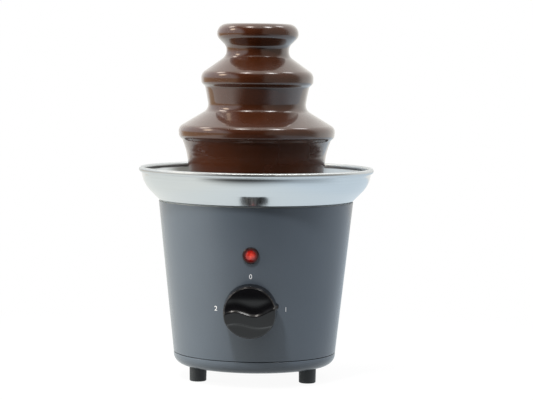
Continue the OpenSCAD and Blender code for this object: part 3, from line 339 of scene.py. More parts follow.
def make_finishes():
    """Makes every finish, each under its slot in the record, and the dial's ink."""
    colours = bpy.context.scene.fountain_colours
    sizes = bpy.context.scene.fountain_controls
    lamp = wall_matrix(sizes.lamp_z, FRONT).translation
    FINISH["bowl_steel"] = spun_aluminium(colours.metal)
    FINISH["chocolate"] = molten_chocolate(colours.chocolate)
    FINISH["tier_plastic"] = coated_plastic()
    FINISH["lens_red"] = lit_lens(colours.lens, lamp, sizes.lens_d)
    FINISH["bezel_black"] = dark_bezel(lamp, sizes.lens_d, sizes.bezel_d)
    # ABS, injection-moulded in a spark-eroded tool: a satin grey with a soft, wide highlight that whitens
    # towards the sides. The tool's real grain of 0.1 mm is drawn at 0.7 mm, because it would not show.
    FINISH["housing_plastic"] = grained("abs_moulded_satin_grey", shade(colours.housing, 0.96),
                                        shade(colours.housing, 1.04), (0.20, 0.25), 0.7, 0.003, 45.0, IOR=1.54)
    # ABS, moulded in a polished tool: a black mirror with a faint haze where fingers turn it
    FINISH["knob_black"] = grained("abs_moulded_gloss_black", shade(colours.knob, 0.9), shade(colours.knob, 1.15),
                                   (0.13, 0.18), 1.2, 0.002, 12.0, IOR=1.5)
    # Pad-printed ink: an even matt white with slightly thin spots
    FINISH["dial_ink"] = grained("ink_pad_printed_white", shade(colours.mark, 0.9), shade(colours.mark, 1.0),
                                 (0.5, 0.6), 0.5, 0.004, 2.0)
    # Slot, name, dark and light tone, roughness, grain, bump and cloud, and for a metal a last 1
    for slot, name, dark, light, *surface in (
            # Thermoplastic rubber, moulded: a dull dark grey that never quite shines
            ("foot_rubber", "rubber_moulded_matt", "#2b2e30", "#383b3d", (0.5, 0.65), 0.6, 0.02, 6.0),
            # Silicone, die-cut: matt grey, a little dusty
            ("gasket_silicone", "silicone_cut_grey", "#7d8284", "#8b9092", (0.55, 0.7), 0.5, 0.01, 5.0),
            # Silicone, moulded brick red: matt, with a waxy sheen
            ("seal_silicone", "silicone_moulded_red", "#7c2a1c", "#8f3524", (0.4, 0.55), 0.5, 0.01, 4.0),
            # Steel, zinc-plated and passivated: bright grey metal with a cold and a warm tint
            ("fixing_steel", "steel_zinc_plated", "#aeb4ba", "#c8c6b8", (0.28, 0.42), 0.5, 0.006, 5.0, 1.0),
            # Aluminium, die-cast: pale grey metal with a coarse cast skin
            ("heater_aluminium", "aluminium_die_cast", "#a9adb0", "#bfc3c6", (0.42, 0.58), 0.8, 0.03, 8.0, 1.0),
            # Steel sheath, annealed: dark metal with brown and blue heat tints
            ("element_steel", "steel_sheath_heat_tinted", "#5b5048", "#5a6066", (0.4, 0.55), 0.5, 0.01, 7.0, 1.0),
            # Bronze, sintered: warm porous metal
            ("bronze", "bronze_sintered", "#a9793f", "#c79a55", (0.35, 0.5), 0.4, 0.02, 4.0, 1.0),
            # Acetal, moulded natural: milky white with a soft sheen
            ("white_plastic", "acetal_moulded_natural", "#d8d2c0", "#e4dfd0", (0.32, 0.42), 0.7, 0.006, 10.0),
            # Steel can, drawn and nickel-plated: smooth grey metal with draw marks
            ("motor_steel", "steel_drawn_nickel", "#8e9194", "#a3a6a8", (0.25, 0.38), 0.6, 0.006, 9.0, 1.0),
            # Ferrite, pressed and fired: dull charcoal with a gritty skin
            ("magnet", "ferrite_fired", "#2a2a2c", "#3a3a3c", (0.55, 0.7), 0.5, 0.02, 5.0),
            # Copper wire, enamelled and wound: warm metal with fine turns
            ("winding", "copper_enamelled_winding", "#8a3f1c", "#b5673a", (0.25, 0.4), 0.5, 0.05, 3.0, 1.0),
            # Phenolic, compression-moulded: dark brown with a dry sheen
            ("switch_plastic", "phenolic_moulded_brown", "#3d2a20", "#4a3529", (0.35, 0.5), 0.6, 0.008, 6.0),
            # PVC, extruded over wire: soft red-brown with a low sheen
            ("lead_red", "pvc_extruded_red", "#6f2a1c", "#813525", (0.35, 0.45), 0.6, 0.006, 5.0)):
        FINISH[slot] = grained(name, linear(dark), linear(light), *surface)


# Shapes

def wall_radius(z):
    """Outside radius of the housing at height z, in metres."""
    base = bpy.context.scene.fountain_base
    return base.bottom_r + (z - base.seam_z) * (base.top_r - base.bottom_r) / (base.top_z - base.seam_z)


def wall_matrix(z, angle):
    """Axes of a place on the wall: x to the right, y up the wall, z outwards."""
    base = bpy.context.scene.fountain_base
    tilt = atan((base.top_r - base.bottom_r) / (base.top_z - base.seam_z))
    turn = Matrix.Rotation(radians(angle - FRONT), 4, "Z")
    axes = Matrix(((1, 0, 0), (0, -sin(tilt), -cos(tilt)), (0, cos(tilt), -sin(tilt)))).to_4x4()
    return turn @ Matrix.Translation((0, -wall_radius(z), z)) @ axes


def arc(r, z, radius, start, end, steps):
    """Points on an arc, angles in degrees."""
    turns = [radians(start + (end - start) * i / steps) for i in range(steps + 1)]
    return [(r + radius * cos(a), z + radius * sin(a)) for a in turns]


def rounded(corners, step=5):
    """An outline through corners, each of them (r, z) or (r, z, rounding). step is in degrees."""
    points = []
    for i, (r, z, *rounding) in enumerate(corners):
        if not rounding:
            points.append((r, z))
            continue
        p = Vector((r, z))
        a = Vector(corners[i - 1][:2]) - p
        b = Vector(corners[(i + 1) % len(corners)][:2]) - p
        half = acos(max(-1, min(1, a.normalized() @ b.normalized()))) / 2
        reach = min(rounding[0] / tan(half), 0.49 * a.length, 0.49 * b.length)
        radius = reach * tan(half)
        centre = p + (a.normalized() + b.normalized()).normalized() * radius / sin(half)
        first = p + a.normalized() * reach - centre
        start = atan2(first.y, first.x)
        turn = (-1 if a.x * b.y - a.y * b.x > 0 else 1) * (pi - 2 * half)
        count = max(2, ceil(abs(turn) / radians(step)))
        turns = [start + turn * k / count for k in range(count + 1)]
        points += [tuple(centre + radius * Vector((cos(t), sin(t)))) for t in turns]
    return points


def between(outline, low, high):
    """The part of a closed outline between two heights."""
    for limit, sign in ((low, 1), (high, -1)):
        kept = []
        for i, p in enumerate(outline):
            q = outline[i - 1]
            is_in, was_in = ((z - limit) * sign >= 0 for z in (p[1], q[1]))
            if is_in != was_in:
                kept.append((q[0] + (p[0] - q[0]) * (limit - q[1]) / (p[1] - q[1]), limit))
            if is_in:
                kept.append(p)
        outline = kept
    return outline


def divided(outline, step):
    """The outline with no segment longer than step."""
    points = []
    for i, p in enumerate(outline):
        q = outline[(i + 1) % len(outline)]
        count = max(1, ceil(hypot(q[0] - p[0], q[1] - p[1]) / step))
        points += [(p[0] + (q[0] - p[0]) * k / count, p[1] + (q[1] - p[1]) * k / count) for k in range(count)]
    return points


def outwards(mesh):
    """Merges a mesh's doubles and turns its faces outwards."""
    work = bmesh.new()
    work.from_mesh(mesh)
    bmesh.ops.remove_doubles(work, verts=work.verts, dist=MERGE)
    bmesh.ops.recalc_face_normals(work, faces=work.faces)
    work.to_mesh(mesh)
    work.free()
    return mesh


def shell(verts, faces):
    """A mesh with its doubles merged and its faces turned outwards."""
    mesh = bpy.data.meshes.new("shell")
    mesh.from_pydata(verts, [], faces)
    return outwards(mesh)


def lathe(outline, segments=192, shift=None):
    """A mesh turned from a closed outline in metres. shift moves a point, given its angle, r and z."""
    verts, rings = [], []
    for r, z in outline:
        if r < MERGE:
            rings.append([len(verts)] * segments)
            verts.append((0, 0, z))
            continue
        rings.append(list(range(len(verts), len(verts) + segments)))
        for k in range(segments):
            a = 2 * pi * k / segments
            rr, zz = shift(a, r, z) if shift else (r, z)
            verts.append((rr * cos(a), rr * sin(a), zz))
    faces = []
    for i, ring in enumerate(rings):
        after = rings[(i + 1) % len(rings)]
        for k in range(segments):
            n = (k + 1) % segments
            face = list(dict.fromkeys((ring[k], ring[n], after[n], after[k])))
            if len(face) > 2:
                faces.append(face)
    return shell(verts, faces)


def rod(radius, low, high, segments):
    """A plain round bar along Z, for cutting."""
    return lathe([(0, low), (radius, low), (radius, high), (0, high)], segments)


def block(size, centre):
    """A box mesh, for cutting."""
    mesh = bpy.data.meshes.new("block")
    work = bmesh.new()
    bmesh.ops.create_cube(work, size=1, matrix=Matrix.Translation(centre) @ Matrix.Diagonal((*size, 1)))
    work.to_mesh(mesh)
    work.free()
    return mesh


def show(name, mesh):
    """A new object at the origin for a mesh."""
    mesh.name = name
    thing = bpy.data.objects.new(name, mesh)
    bpy.context.scene.collection.objects.link(thing)
    return thing


def plain_mesh(thing):
    """The object's evaluated mesh in place of its own, with its modifiers gone."""
    bpy.context.view_layer.update()
    graph = bpy.context.evaluated_depsgraph_get()
    mesh = bpy.data.meshes.new_from_object(thing.evaluated_get(graph))
    thing.modifiers.clear()
    thing.data = mesh


def carve(thing, tools, operation="DIFFERENCE"):
    """Cuts meshes out of an object, or joins them to it."""
    helpers = []
    for tool in tools:
        helper = show("tool", tool)
        modifier = thing.modifiers.new("carve", "BOOLEAN")
        modifier.operation = operation
        modifier.solver = "EXACT"
        modifier.object = helper
        helpers.append(helper)
    plain_mesh(thing)
    for helper in helpers:
        bpy.data.objects.remove(helper)


def settle(thing, finish, body, nodes=(), sharp=32):
    """Gives a piece its finish and shading, sets it on its body and hides the nodes that it stands for."""
    mesh = thing.data
    if not mesh.polygons:
        raise RuntimeError(f"{thing.name} has no faces")
    mesh.materials.clear()
    mesh.materials.append(FINISH[finish])
    mesh.shade_smooth()
    mesh.set_sharp_from_angle(angle=radians(sharp))
    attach(thing, body)
    if nodes:
        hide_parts(*nodes)


# Geometry trees

def start_tree(name, **inputs):
    """A geometry tree with named inputs and one geometry output."""
    tree = bpy.data.node_groups.new(name, "GeometryNodeTree")
    tree.interface.new_socket("Geometry", in_out="OUTPUT", socket_type="NodeSocketGeometry")
    for label, kind in inputs.items():
        tree.interface.new_socket(label, in_out="INPUT", socket_type="NodeSocket" + kind)
    return tree, add(tree, "NodeGroupInput").outputs


def end_tree(tree, made, finish):
    """Makes a tree's instances real, gives them their finish and sends them out."""
    real = add(tree, "GeometryNodeRealizeInstances", {0: made})
    finished = add(tree, "GeometryNodeSetMaterial", {"Geometry": real, "Material": finish})
    add(tree, "NodeGroupOutput", {0: finished})
    return tree


def grow(thing, tree, values):
    """Runs a geometry tree on an object, with its inputs set by identifier, and keeps the plain mesh."""
    modifier = thing.modifiers.new("grow", "NODES")
    modifier.node_group = tree
    for item in tree.interface.items_tree:
        if item.in_out == "INPUT" and item.name in values:
            modifier[item.identifier] = values[item.name]
    plain_mesh(thing)


def ring_tree(name):
    """Copies the object's own mesh round the Z axis, each copy turned to face outwards."""
    tree, given = start_tree(name, Piece="Geometry", Count="Int", Radius="Float", Start="Float", Finish="Material")
    step = add(tree, MATH, {"operation": "DIVIDE", 0: 2 * pi, 1: given["Count"]})
    index = add(tree, "GeometryNodeInputIndex")
    angle = add(tree, MATH, {"operation": "MULTIPLY_ADD", 0: index, 1: step, 2: given["Start"]})
    reach = add(tree, COMBINE, {0: given["Radius"]})
    place = add(tree, "ShaderNodeVectorRotate", {"rotation_type": "Z_AXIS", "Vector": reach, "Angle": angle})
    points = add(tree, "GeometryNodePoints", {"Count": given["Count"], "Position": place})
    copies = add(tree, "GeometryNodeInstanceOnPoints", {"Points": points, "Instance": given["Piece"],
                                                        "Rotation": add(tree, COMBINE, {2: angle})})
    return end_tree(tree, copies, given["Finish"])


def ring_of(mesh, count, radius, start, finish):
    """An object with copies of a mesh round the Z axis, the first of them at the start in degrees."""
    thing, name = show("ring", mesh), "Ring of copies"
    tree = bpy.data.node_groups.get(name) or ring_tree(name)
    grow(thing, tree, {"Count": count, "Radius": radius, "Start": radians(start), "Finish": FINISH[finish]})
    return thing


def auger_tree():
    """A screw: a core with one flight wound round it from the bottom to the top."""
    tree, given = start_tree("Auger", Piece="Geometry", Core="Float", Outside="Float", Pitch="Float",
                             Length="Float", Thickness="Float", Base="Float", Finish="Material")
    edge_ease, bury = 0.7 * MM, 0.15 * MM
    run = add(tree, MATH, {"operation": "SUBTRACT", 0: given["Length"], 1: given["Thickness"]})
    turns = add(tree, MATH, {"operation": "DIVIDE", 0: run, 1: given["Pitch"]})
    both = add(tree, MATH, {"operation": "ADD", 0: given["Core"], 1: given["Outside"]})
    middle = add(tree, MATH, {"operation": "MULTIPLY", 0: both, 1: 0.5})
    helix = add(tree, "GeometryNodeCurveSpiral", {"Resolution": 72, "Rotations": turns, "Start Radius": middle,
                                                  "End Radius": middle, "Height": run})
    upright = add(tree, "GeometryNodeSetCurveNormal", {"mode": "Z_UP", "Curve": helix})
    width = add(tree, MATH, {"operation": "SUBTRACT", 0: given["Outside"], 1: given["Core"]})
    section = add(tree, "GeometryNodeCurvePrimitiveQuadrilateral", {"Width": width, "Height": given["Thickness"]})
    eased = add(tree, "GeometryNodeFilletCurve", {"mode": "POLY", "Curve": section, "Radius": edge_ease,
                                                  "Count": 4})
    flight = add(tree, "GeometryNodeCurveToMesh", {"Curve": upright, "Profile Curve": eased, "Fill Caps": True})
    # The core is a little thicker than the flight's inner edge, which is buried in it
    thick = add(tree, MATH, {"operation": "ADD", 0: given["Core"], 1: bury})
    core = add(tree, "GeometryNodeMeshCylinder", {"Vertices": 64, "Radius": thick, "Depth": given["Length"]})
    joined = add(tree, "GeometryNodeJoinGeometry")
    for made, tall in ((flight, given["Thickness"]), (core, given["Length"])):
        lift = add(tree, MATH, {"operation": "MULTIPLY_ADD", 0: tall, 1: 0.5, 2: given["Base"]})
        at = add(tree, COMBINE, {2: lift})
        placed = add(tree, "GeometryNodeTransform", {"Geometry": made, "Translation": at})
        tree.links.new(placed.outputs[0], joined.inputs[0])
    return end_tree(tree, joined, given["Finish"])


# Levels and outlines that several pieces share

def levels():
    """Heights of the bowl and the pool, and the radius of the bowl's flat floor, in metres."""
    base = bpy.context.scene.fountain_base
    bowl = bpy.context.scene.fountain_bowl
    cone = base.top_z - base.top_r + bowl.gasket * sqrt(2)
    rim = bowl.rim_r - bowl.bend_r * (1 - cos(pi / 4)) + cone + bowl.bend_r * sin(pi / 4)
    floor = rim - bowl.depth
    under = floor - bowl.sheet
    flat_r = under + bowl.floor_bend_r * (1 - sqrt(2)) - cone
    return {"cone": cone, "rim": rim, "floor": floor, "under": under, "flat_r": flat_r,
            "pool": floor + bowl.pool_h}


def bowl_side(inwards, steps):
    """The bowl's wall from floor to rim, at a distance inwards from its outside."""
    bowl = bpy.context.scene.fountain_bowl
    at = levels()
    return (arc(at["flat_r"], at["under"] + bowl.floor_bend_r, bowl.floor_bend_r - inwards, -90, -45, steps)
            + arc(bowl.rim_r - bowl.bend_r, at["rim"], bowl.bend_r - inwards, -45, 0, steps))


def flow_outline():
    """Outline of the chocolate that runs down the tower: its outside from the top, then its inside.

    The heights of the lower and middle lips and of the crown's rim come with it.
    """
    t = bpy.context.scene.fountain_tower
    at = levels()
    tuck, lean, mid_lift = 2.2 * MM, 0.3 * MM, 11 * MM
    brim_bend, brim_under_bend, neck_bend, waist_bend = 7 * MM, 5.5 * MM, 6 * MM, 6 * MM
    middle_bend, lower_bend, lip_bend, tuck_bend, curtain_bend = 11 * MM, 6.5 * MM, 3.4 * MM, 2 * MM, 40 * MM
    neck_sink, waist_swell, middle_swell, lower_swell, cup_gap = 0.4 * MM, 0.5 * MM, 0.55 * MM, 0.2 * MM, 0.4 * MM
    lower_in, middle_in = t.lower_lip_r - 0.2 * MM, t.middle_lip_r - 0.4 * MM
    lower_z = at["floor"] + t.lower_lip_h
    middle_z = at["floor"] + t.middle_lip_h
    crown_z = at["floor"] + t.crown_rim_h
    edge_z = crown_z - t.edge_h
    flare = edge_z - t.crown_lip_r
    flare_gap = t.skin * (sqrt(2) - 1)
    cup_z = flare + t.shell * sqrt(2) + t.crown_lip_r - t.shell + cup_gap
    neck_r = t.hub_r + t.coat
    low_z = lower_z - t.drip_h
    mid_z = middle_z - t.drip_h
    curtain_mid_z = (low_z + at["pool"]) / 2 + mid_lift
    top_z = crown_z + t.dome_h
    brim_r, brim_z = t.crown_lip_r + t.coat - 0.35 * MM, top_z - brim_bend
    brim = (arc(brim_r - brim_bend, brim_z, brim_bend, 90, 0, 18)
            + arc(brim_r - brim_under_bend, brim_z, brim_under_bend, 0, -45, 9)[1:])

    def surface(lip_r, lip_z, slope, r, raised):
        """Height of a tier's slope at radius r, or of what is raised above it."""
        return lip_z + t.edge_h + (lip_r - r) * tan(slope) + raised / cos(slope)

    def lip_corner(lip_z, slope, raised):
        """Height of the corner where the slope meets the upright edge."""
        return lip_z + t.edge_h + raised * (1 - sin(slope)) / cos(slope)

    lower = (t.lower_lip_r, lower_z, t.lower_slope)
    middle = (t.middle_lip_r, middle_z, t.middle_slope)
    outside = [
        (0, top_z),
        *brim,
        (neck_r, brim[-1][1] - brim[-1][0] + neck_r, neck_bend),
        (neck_r, surface(*middle, neck_r, t.coat - neck_sink), neck_bend),
        (t.middle_lip_r + t.coat, lip_corner(middle_z, t.middle_slope, t.coat) + middle_swell, middle_bend),
        (t.middle_lip_r + t.coat - lean, mid_z, lip_bend),
        (middle_in, mid_z - tuck, tuck_bend),
        (t.waist_r, surface(*lower, t.waist_r, t.coat + waist_swell), waist_bend),
        (t.lower_lip_r + t.coat + lean, lip_corner(lower_z, t.lower_slope, t.coat) + lower_swell, lower_bend),
        (t.lower_lip_r + t.coat - lean, low_z, lip_bend),
        (lower_in, low_z - tuck, tuck_bend),
        (t.curtain_mid_r, curtain_mid_z, curtain_bend),
        (t.curtain_foot_r, at["pool"] + t.skin)]
    inside = [
        (t.curtain_foot_r - t.film, at["pool"] + t.skin),
        (t.curtain_mid_r - t.film, curtain_mid_z, curtain_bend),
        (lower_in - t.film, lower_z - t.skin),
        (t.lower_lip_r + t.skin, lower_z - t.skin),
        (t.lower_lip_r + t.skin, lip_corner(lower_z, t.lower_slope, t.skin)),
        (t.waist_r - t.film, surface(*lower, t.waist_r - t.film, t.skin)),
        (middle_in - t.film, middle_z - t.skin),
        (t.middle_lip_r + t.skin, middle_z - t.skin),
        (t.middle_lip_r + t.skin, lip_corner(middle_z, t.middle_slope, t.skin)),
        (t.hub_r + t.skin, surface(*middle, t.hub_r + t.skin, t.skin)),
        (t.hub_r + t.skin, flare + t.hub_r - flare_gap),
        (t.crown_lip_r + t.skin, edge_z - flare_gap),
        (t.crown_lip_r + t.skin, crown_z + t.skin),
        (t.crown_lip_r - t.shell - t.skin, crown_z + t.skin),
        (t.crown_lip_r - t.shell - t.skin, cup_z),
        (0, cup_z)]
    return rounded(outside + inside), lower_z, middle_z, crown_z


# Pieces

class FOUNTAIN_OT_housing(bpy.types.Operator):
    """Makes the tapered grey housing with its pads and holes"""
    bl_idname = "fountain.housing"
    bl_label = "Housing"

    def execute(self, context):
        base = context.scene.fountain_base
        controls = context.scene.fountain_controls
        reveal, low_ease, top_ease, w = 0.25 * MM, 0.2 * MM, 0.3 * MM, base.wall
        sunk, pad_ease, reach, round_steps = -4 * MM, 0.2 * MM, 9 * MM, 64
        low = base.seam_z + reveal
        outline = rounded([
            (base.bottom_r - w, low), (wall_radius(low), low, low_ease),
            (base.top_r, base.top_z, top_ease), (base.top_r - w, base.top_z - w)])
        housing = show("housing_shell", lathe(divided(outline, 12 * MM), 256))
        pads, holes = [], []
        # Height, side, radius of the pad, how far it stands out, radius of the hole
        for z, angle, pad_r, proud, hole_r in (
                (controls.knob_z, FRONT, 9.5 * MM, 0.6 * MM, 5 * MM),
                (controls.lamp_z, FRONT, controls.bezel_d / 2 - 0.2 * MM, 0.3 * MM, 4.5 * MM),
                (base.gland_z, BACK, 9.5 * MM, 1.2 * MM, 6.2 * MM)):
            pads.append(lathe(rounded([
                (0, sunk), (pad_r, sunk), (pad_r, proud, pad_ease), (0, proud)]), round_steps))
            holes.append(rod(hole_r, -reach, reach, round_steps))
            for tool in (pads[-1], holes[-1]):
                tool.transform(wall_matrix(z, angle))
        carve(housing, pads, "UNION")
        carve(housing, holes)
        settle(housing, "housing_plastic", "base", ["housing"])
        return {"FINISHED"}


class FOUNTAIN_OT_cover(bpy.types.Operator):
    """Makes the bottom cover with its rounded edge, its spigot and a ring of vents"""
    bl_idname = "fountain.cover"
    bl_label = "Bottom cover"

    def execute(self, context):
        base = context.scene.fountain_base
        low, w, edge = base.foot_h, base.wall, base.cover_edge_r
        seam, ease = base.seam_z - 0.25 * MM, 0.2 * MM
        spigot, spigot_t, spigot_z = base.bottom_r - w - 0.15 * MM, 1.8 * MM, base.seam_z + 4 * MM
        outline = ([(0, low + w), (0, low)] + arc(base.bottom_r - edge, low + edge, edge, -90, 0, 14)
                   + [(base.bottom_r, seam - ease), (base.bottom_r - ease, seam), (spigot, seam),
                      (spigot, spigot_z), (spigot - spigot_t, spigot_z),
                      (spigot - spigot_t, base.seam_z - 1 * MM), (base.bottom_r - edge, low + w)])
        cover = show("bottom_cover_shell", lathe(outline, 256))
        vent_r, vent_l, vent_w, vent_h = 12 * MM, 10 * MM, 2.5 * MM, 8 * MM
        slot = block((vent_l, vent_w, vent_h), (vent_l / 2, 0, low))
        screw_hole = rod(1.7 * MM, -4 * MM, 4 * MM, 32)
        screw_hole.transform(Matrix.Translation((0, 0, low)))
        cuts = [ring_of(slot, base.vents, vent_r, 0, "housing_plastic"),
                ring_of(screw_hole, 3, base.foot_circle_r, BACK, "housing_plastic")]
        carve(cover, [cut.data.copy() for cut in cuts])
        for cut in cuts:
            bpy.data.objects.remove(cut)
        settle(cover, "housing_plastic", "base", ["bottom_cover"])
        return {"FINISHED"}


class FOUNTAIN_OT_feet(bpy.types.Operator):
    """Makes the three rubber feet and the screws inside them"""
    bl_idname = "fountain.feet"
    bl_label = "Feet and screws"

    def execute(self, context):
        base = context.scene.fountain_base
        r, h = base.foot_d / 2, base.foot_h
        well_r, hole_r, seat_z, well_ease = 3.6 * MM, 1.7 * MM, h - 4 * MM, 0.3 * MM
        foot = lathe(rounded([
            (well_r, 0, well_ease), (r - 0.15 * MM, 0, 0.9 * MM), (r, h, 0.25 * MM), (hole_r, h),
            (hole_r, seat_z), (well_r, seat_z, well_ease)]), 64)
        feet = ring_of(foot, 3, base.foot_circle_r, BACK, "foot_rubber")
        feet.name = "rubber_feet"
        settle(feet, "foot_rubber", "base", ["foot_front_left", "foot_front_right", "foot_rear"])
        head_r, head_z, shank_r, tip_z = 3.1 * MM, h - 6.4 * MM, 1.45 * MM, h + 16.6 * MM
        screw = show("screw", lathe(rounded([
            (0, head_z), (head_r, head_z, 1 * MM), (head_r, seat_z), (shank_r, seat_z),
            (shank_r, tip_z - 0.4 * MM, 0.5 * MM), (0, tip_z)]), 48))
        cross_l, cross_w, cross_h = 3.4 * MM, 0.8 * MM, 2.4 * MM
        carve(screw, [block((cross_l, cross_w, cross_h), (0, 0, head_z)),
                      block((cross_w, cross_l, cross_h), (0, 0, head_z))])
        screws = ring_of(screw.data, 3, base.foot_circle_r, BACK, "fixing_steel")
        bpy.data.objects.remove(screw)
        screws.name = "cover_screw_set"
        settle(screws, "fixing_steel", "base", ["cover_screws"])
        return {"FINISHED"}


class FOUNTAIN_OT_bowl(bpy.types.Operator):
    """Makes the spun bowl with its rolled bead, and the gasket that it sits on"""
    bl_idname = "fountain.bowl"
    bl_label = "Bowl and gasket"

    def execute(self, context):
        base = context.scene.fountain_base
        bowl = context.scene.fountain_bowl
        at = levels()
        rim = (bowl.rim_r, at["rim"])
        bead_end, side_steps = 243.6, 28  # the bead ends where it meets the inside of the sheet, in degrees

        def side(inwards):
            """The wall up to the bead."""
            return [p for p in bowl_side(inwards, side_steps)
                    if hypot(p[0] - rim[0], p[1] - rim[1]) > bowl.bead_r * 1.02]

        outline = ([(bowl.hub_r, at["under"])] + side(0) + arc(*rim, bowl.bead_r, -90, bead_end, 44)
                   + side(bowl.sheet)[::-1] + [(bowl.hub_r, at["floor"])])
        settle(show("bowl_spun", lathe(divided(outline, 5 * MM), 256)), "bowl_steel", "base", ["bowl"])
        t, ease = (bowl.gasket - 0.02 * MM) / sqrt(2), 0.15 * MM
        r_in, r_out = base.top_r - base.wall + 0.2 * MM, base.top_r - 0.3 * MM
        drop = base.top_z - base.top_r
        ring = lathe(rounded([
            (r_in, drop + r_in), (r_out, drop + r_out, ease), (r_out - t, drop + r_out + t, ease),
            (r_in - t, drop + r_in + t)]))
        settle(show("bowl_gasket_ring", ring), "gasket_silicone", "base", ["bowl_gasket"])
        return {"FINISHED"}


class FOUNTAIN_OT_pool(bpy.types.Operator):
    """Makes the pool of chocolate, with a raised edge at the metal and a ring where the curtain lands"""
    bl_idname = "fountain.pool"
    bl_label = "Chocolate pool"

    def execute(self, context):
        bowl = context.scene.fountain_bowl
        t = context.scene.fountain_tower
        at = levels()
        lift, lift_fade, splash, splash_fade = 0.55 * MM, 1.6 * MM, 0.5 * MM, 2.6 * MM
        swell, calm, steps = 0.09 * MM, 6 * MM, 60
        gap = bowl.sheet + t.skin
        low_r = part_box("tower_tube")[1].x + 0.5 * MM
        wall_r = at["pool"] - at["cone"] - gap * sqrt(2)
        edge_r = wall_r + lift
        side = [p for p in bowl_side(gap, 20) if p[1] < at["pool"] - 0.5 * MM]
        top = [(edge_r, at["pool"] + lift)]
        for i in range(1, steps):
            r = edge_r + (low_r - edge_r) * i / steps
            meniscus = lift * exp(-(edge_r - r) / lift_fade)
            landing = splash * exp(-((r - t.curtain_foot_r) / splash_fade) ** 2)
            top.append((r, at["pool"] + meniscus + landing))
        outline = top + [(low_r, at["pool"]), (low_r, at["floor"] + t.skin)] + side

        def stir(angle, r, z):
            """Slow waves on the top, which die out towards the wall and the tower."""
            if z < at["pool"] - 0.2 * MM:
                return r, z
            wave = sin(3 * angle + r / (7 * MM)) + 0.7 * sin(5 * angle - r / (4 * MM) + 1.3)
            ends = min(1, max(0, (wall_r - r) / calm)) * min(1, max(0, (r - low_r) / calm))
            return r, z + swell * wave * ends

        pool = show("chocolate_pool_surface", lathe(outline, shift=stir))
        settle(pool, "chocolate", "base", ["chocolate_pool"], sharp=50)
        return {"FINISHED"}


class FOUNTAIN_OT_flow(bpy.types.Operator):
    """Makes the chocolate on the crown and on the two tiers, with the curtains under them"""
    bl_idname = "fountain.flow"
    bl_label = "Flowing chocolate"

    def execute(self, context):
        t = context.scene.fountain_tower
        at = levels()
        outline, lower_z, middle_z, crown_z = flow_outline()
        curtains = ((lower_z - 3 * MM, at["pool"]), (middle_z - 3 * MM, lower_z + 22 * MM),
                    (crown_z - 10 * MM, middle_z + 18 * MM))
        # Size, number round the tower, start and drift with height of each wave
        fine = ((1, 7, 0.4, 40), (0.8, 11, 2.1, -70), (0.6, 17, 4.0, 25))
        broad = ((1, 2, 0.7, 0), (0.8, 3, 2.6, 30))

        def falls(z):
            """How much the chocolate runs here: most in the middle of a curtain, least on a lip."""
            for top, bottom in curtains:
                if bottom < z < top:
                    return sin(pi * (z - bottom) / (top - bottom))
            return 0.0

        def depth(waves, angle, z):
            """Depth of a set of waves here, from 0 to 2."""
            swing = sum(size * sin(count * angle + start + drift * z) for size, count, start, drift in waves)
            return 1 + swing / sum(wave[0] for wave in waves)

        def run(angle, r, z):
            if r < 15 * MM:
                return r, z
            return r - t.ripple * (0.5 * depth(fine, angle, z) * falls(z) + 0.35 * depth(broad, angle, z)), z

        for name, low, high in (("chocolate_crown", CROWN_LOW.z, CROWN_HIGH.z + MM),
                                ("chocolate_middle", MIDDLE_LOW.z, CROWN_LOW.z),
                                ("chocolate_lower", LOWER_LOW.z, MIDDLE_LOW.z)):
            part = divided(between(outline, low, high), 1.4 * MM)
            settle(show(name + "_run", lathe(part, 224, run)), "chocolate", "tower", [name], sharp=50)
        return {"FINISHED"}


class FOUNTAIN_OT_auger(bpy.types.Operator):
    """Winds the auger that lifts the chocolate"""
    bl_idname = "fountain.auger"
    bl_label = "Auger"

    def execute(self, context):
        t = context.scene.fountain_tower
        auger = show("auger_screw", bpy.data.meshes.new("auger_screw"))
        grow(auger, auger_tree(), {"Core": t.auger_core_r, "Outside": AUGER_HIGH.x, "Pitch": t.auger_pitch,
                                   "Length": AUGER_HIGH.z - AUGER_LOW.z, "Thickness": t.flight_t,
                                   "Base": AUGER_LOW.z, "Finish": FINISH["tier_plastic"]})
        settle(auger, "tier_plastic", "drive", ["auger"], sharp=40)
        return {"FINISHED"}


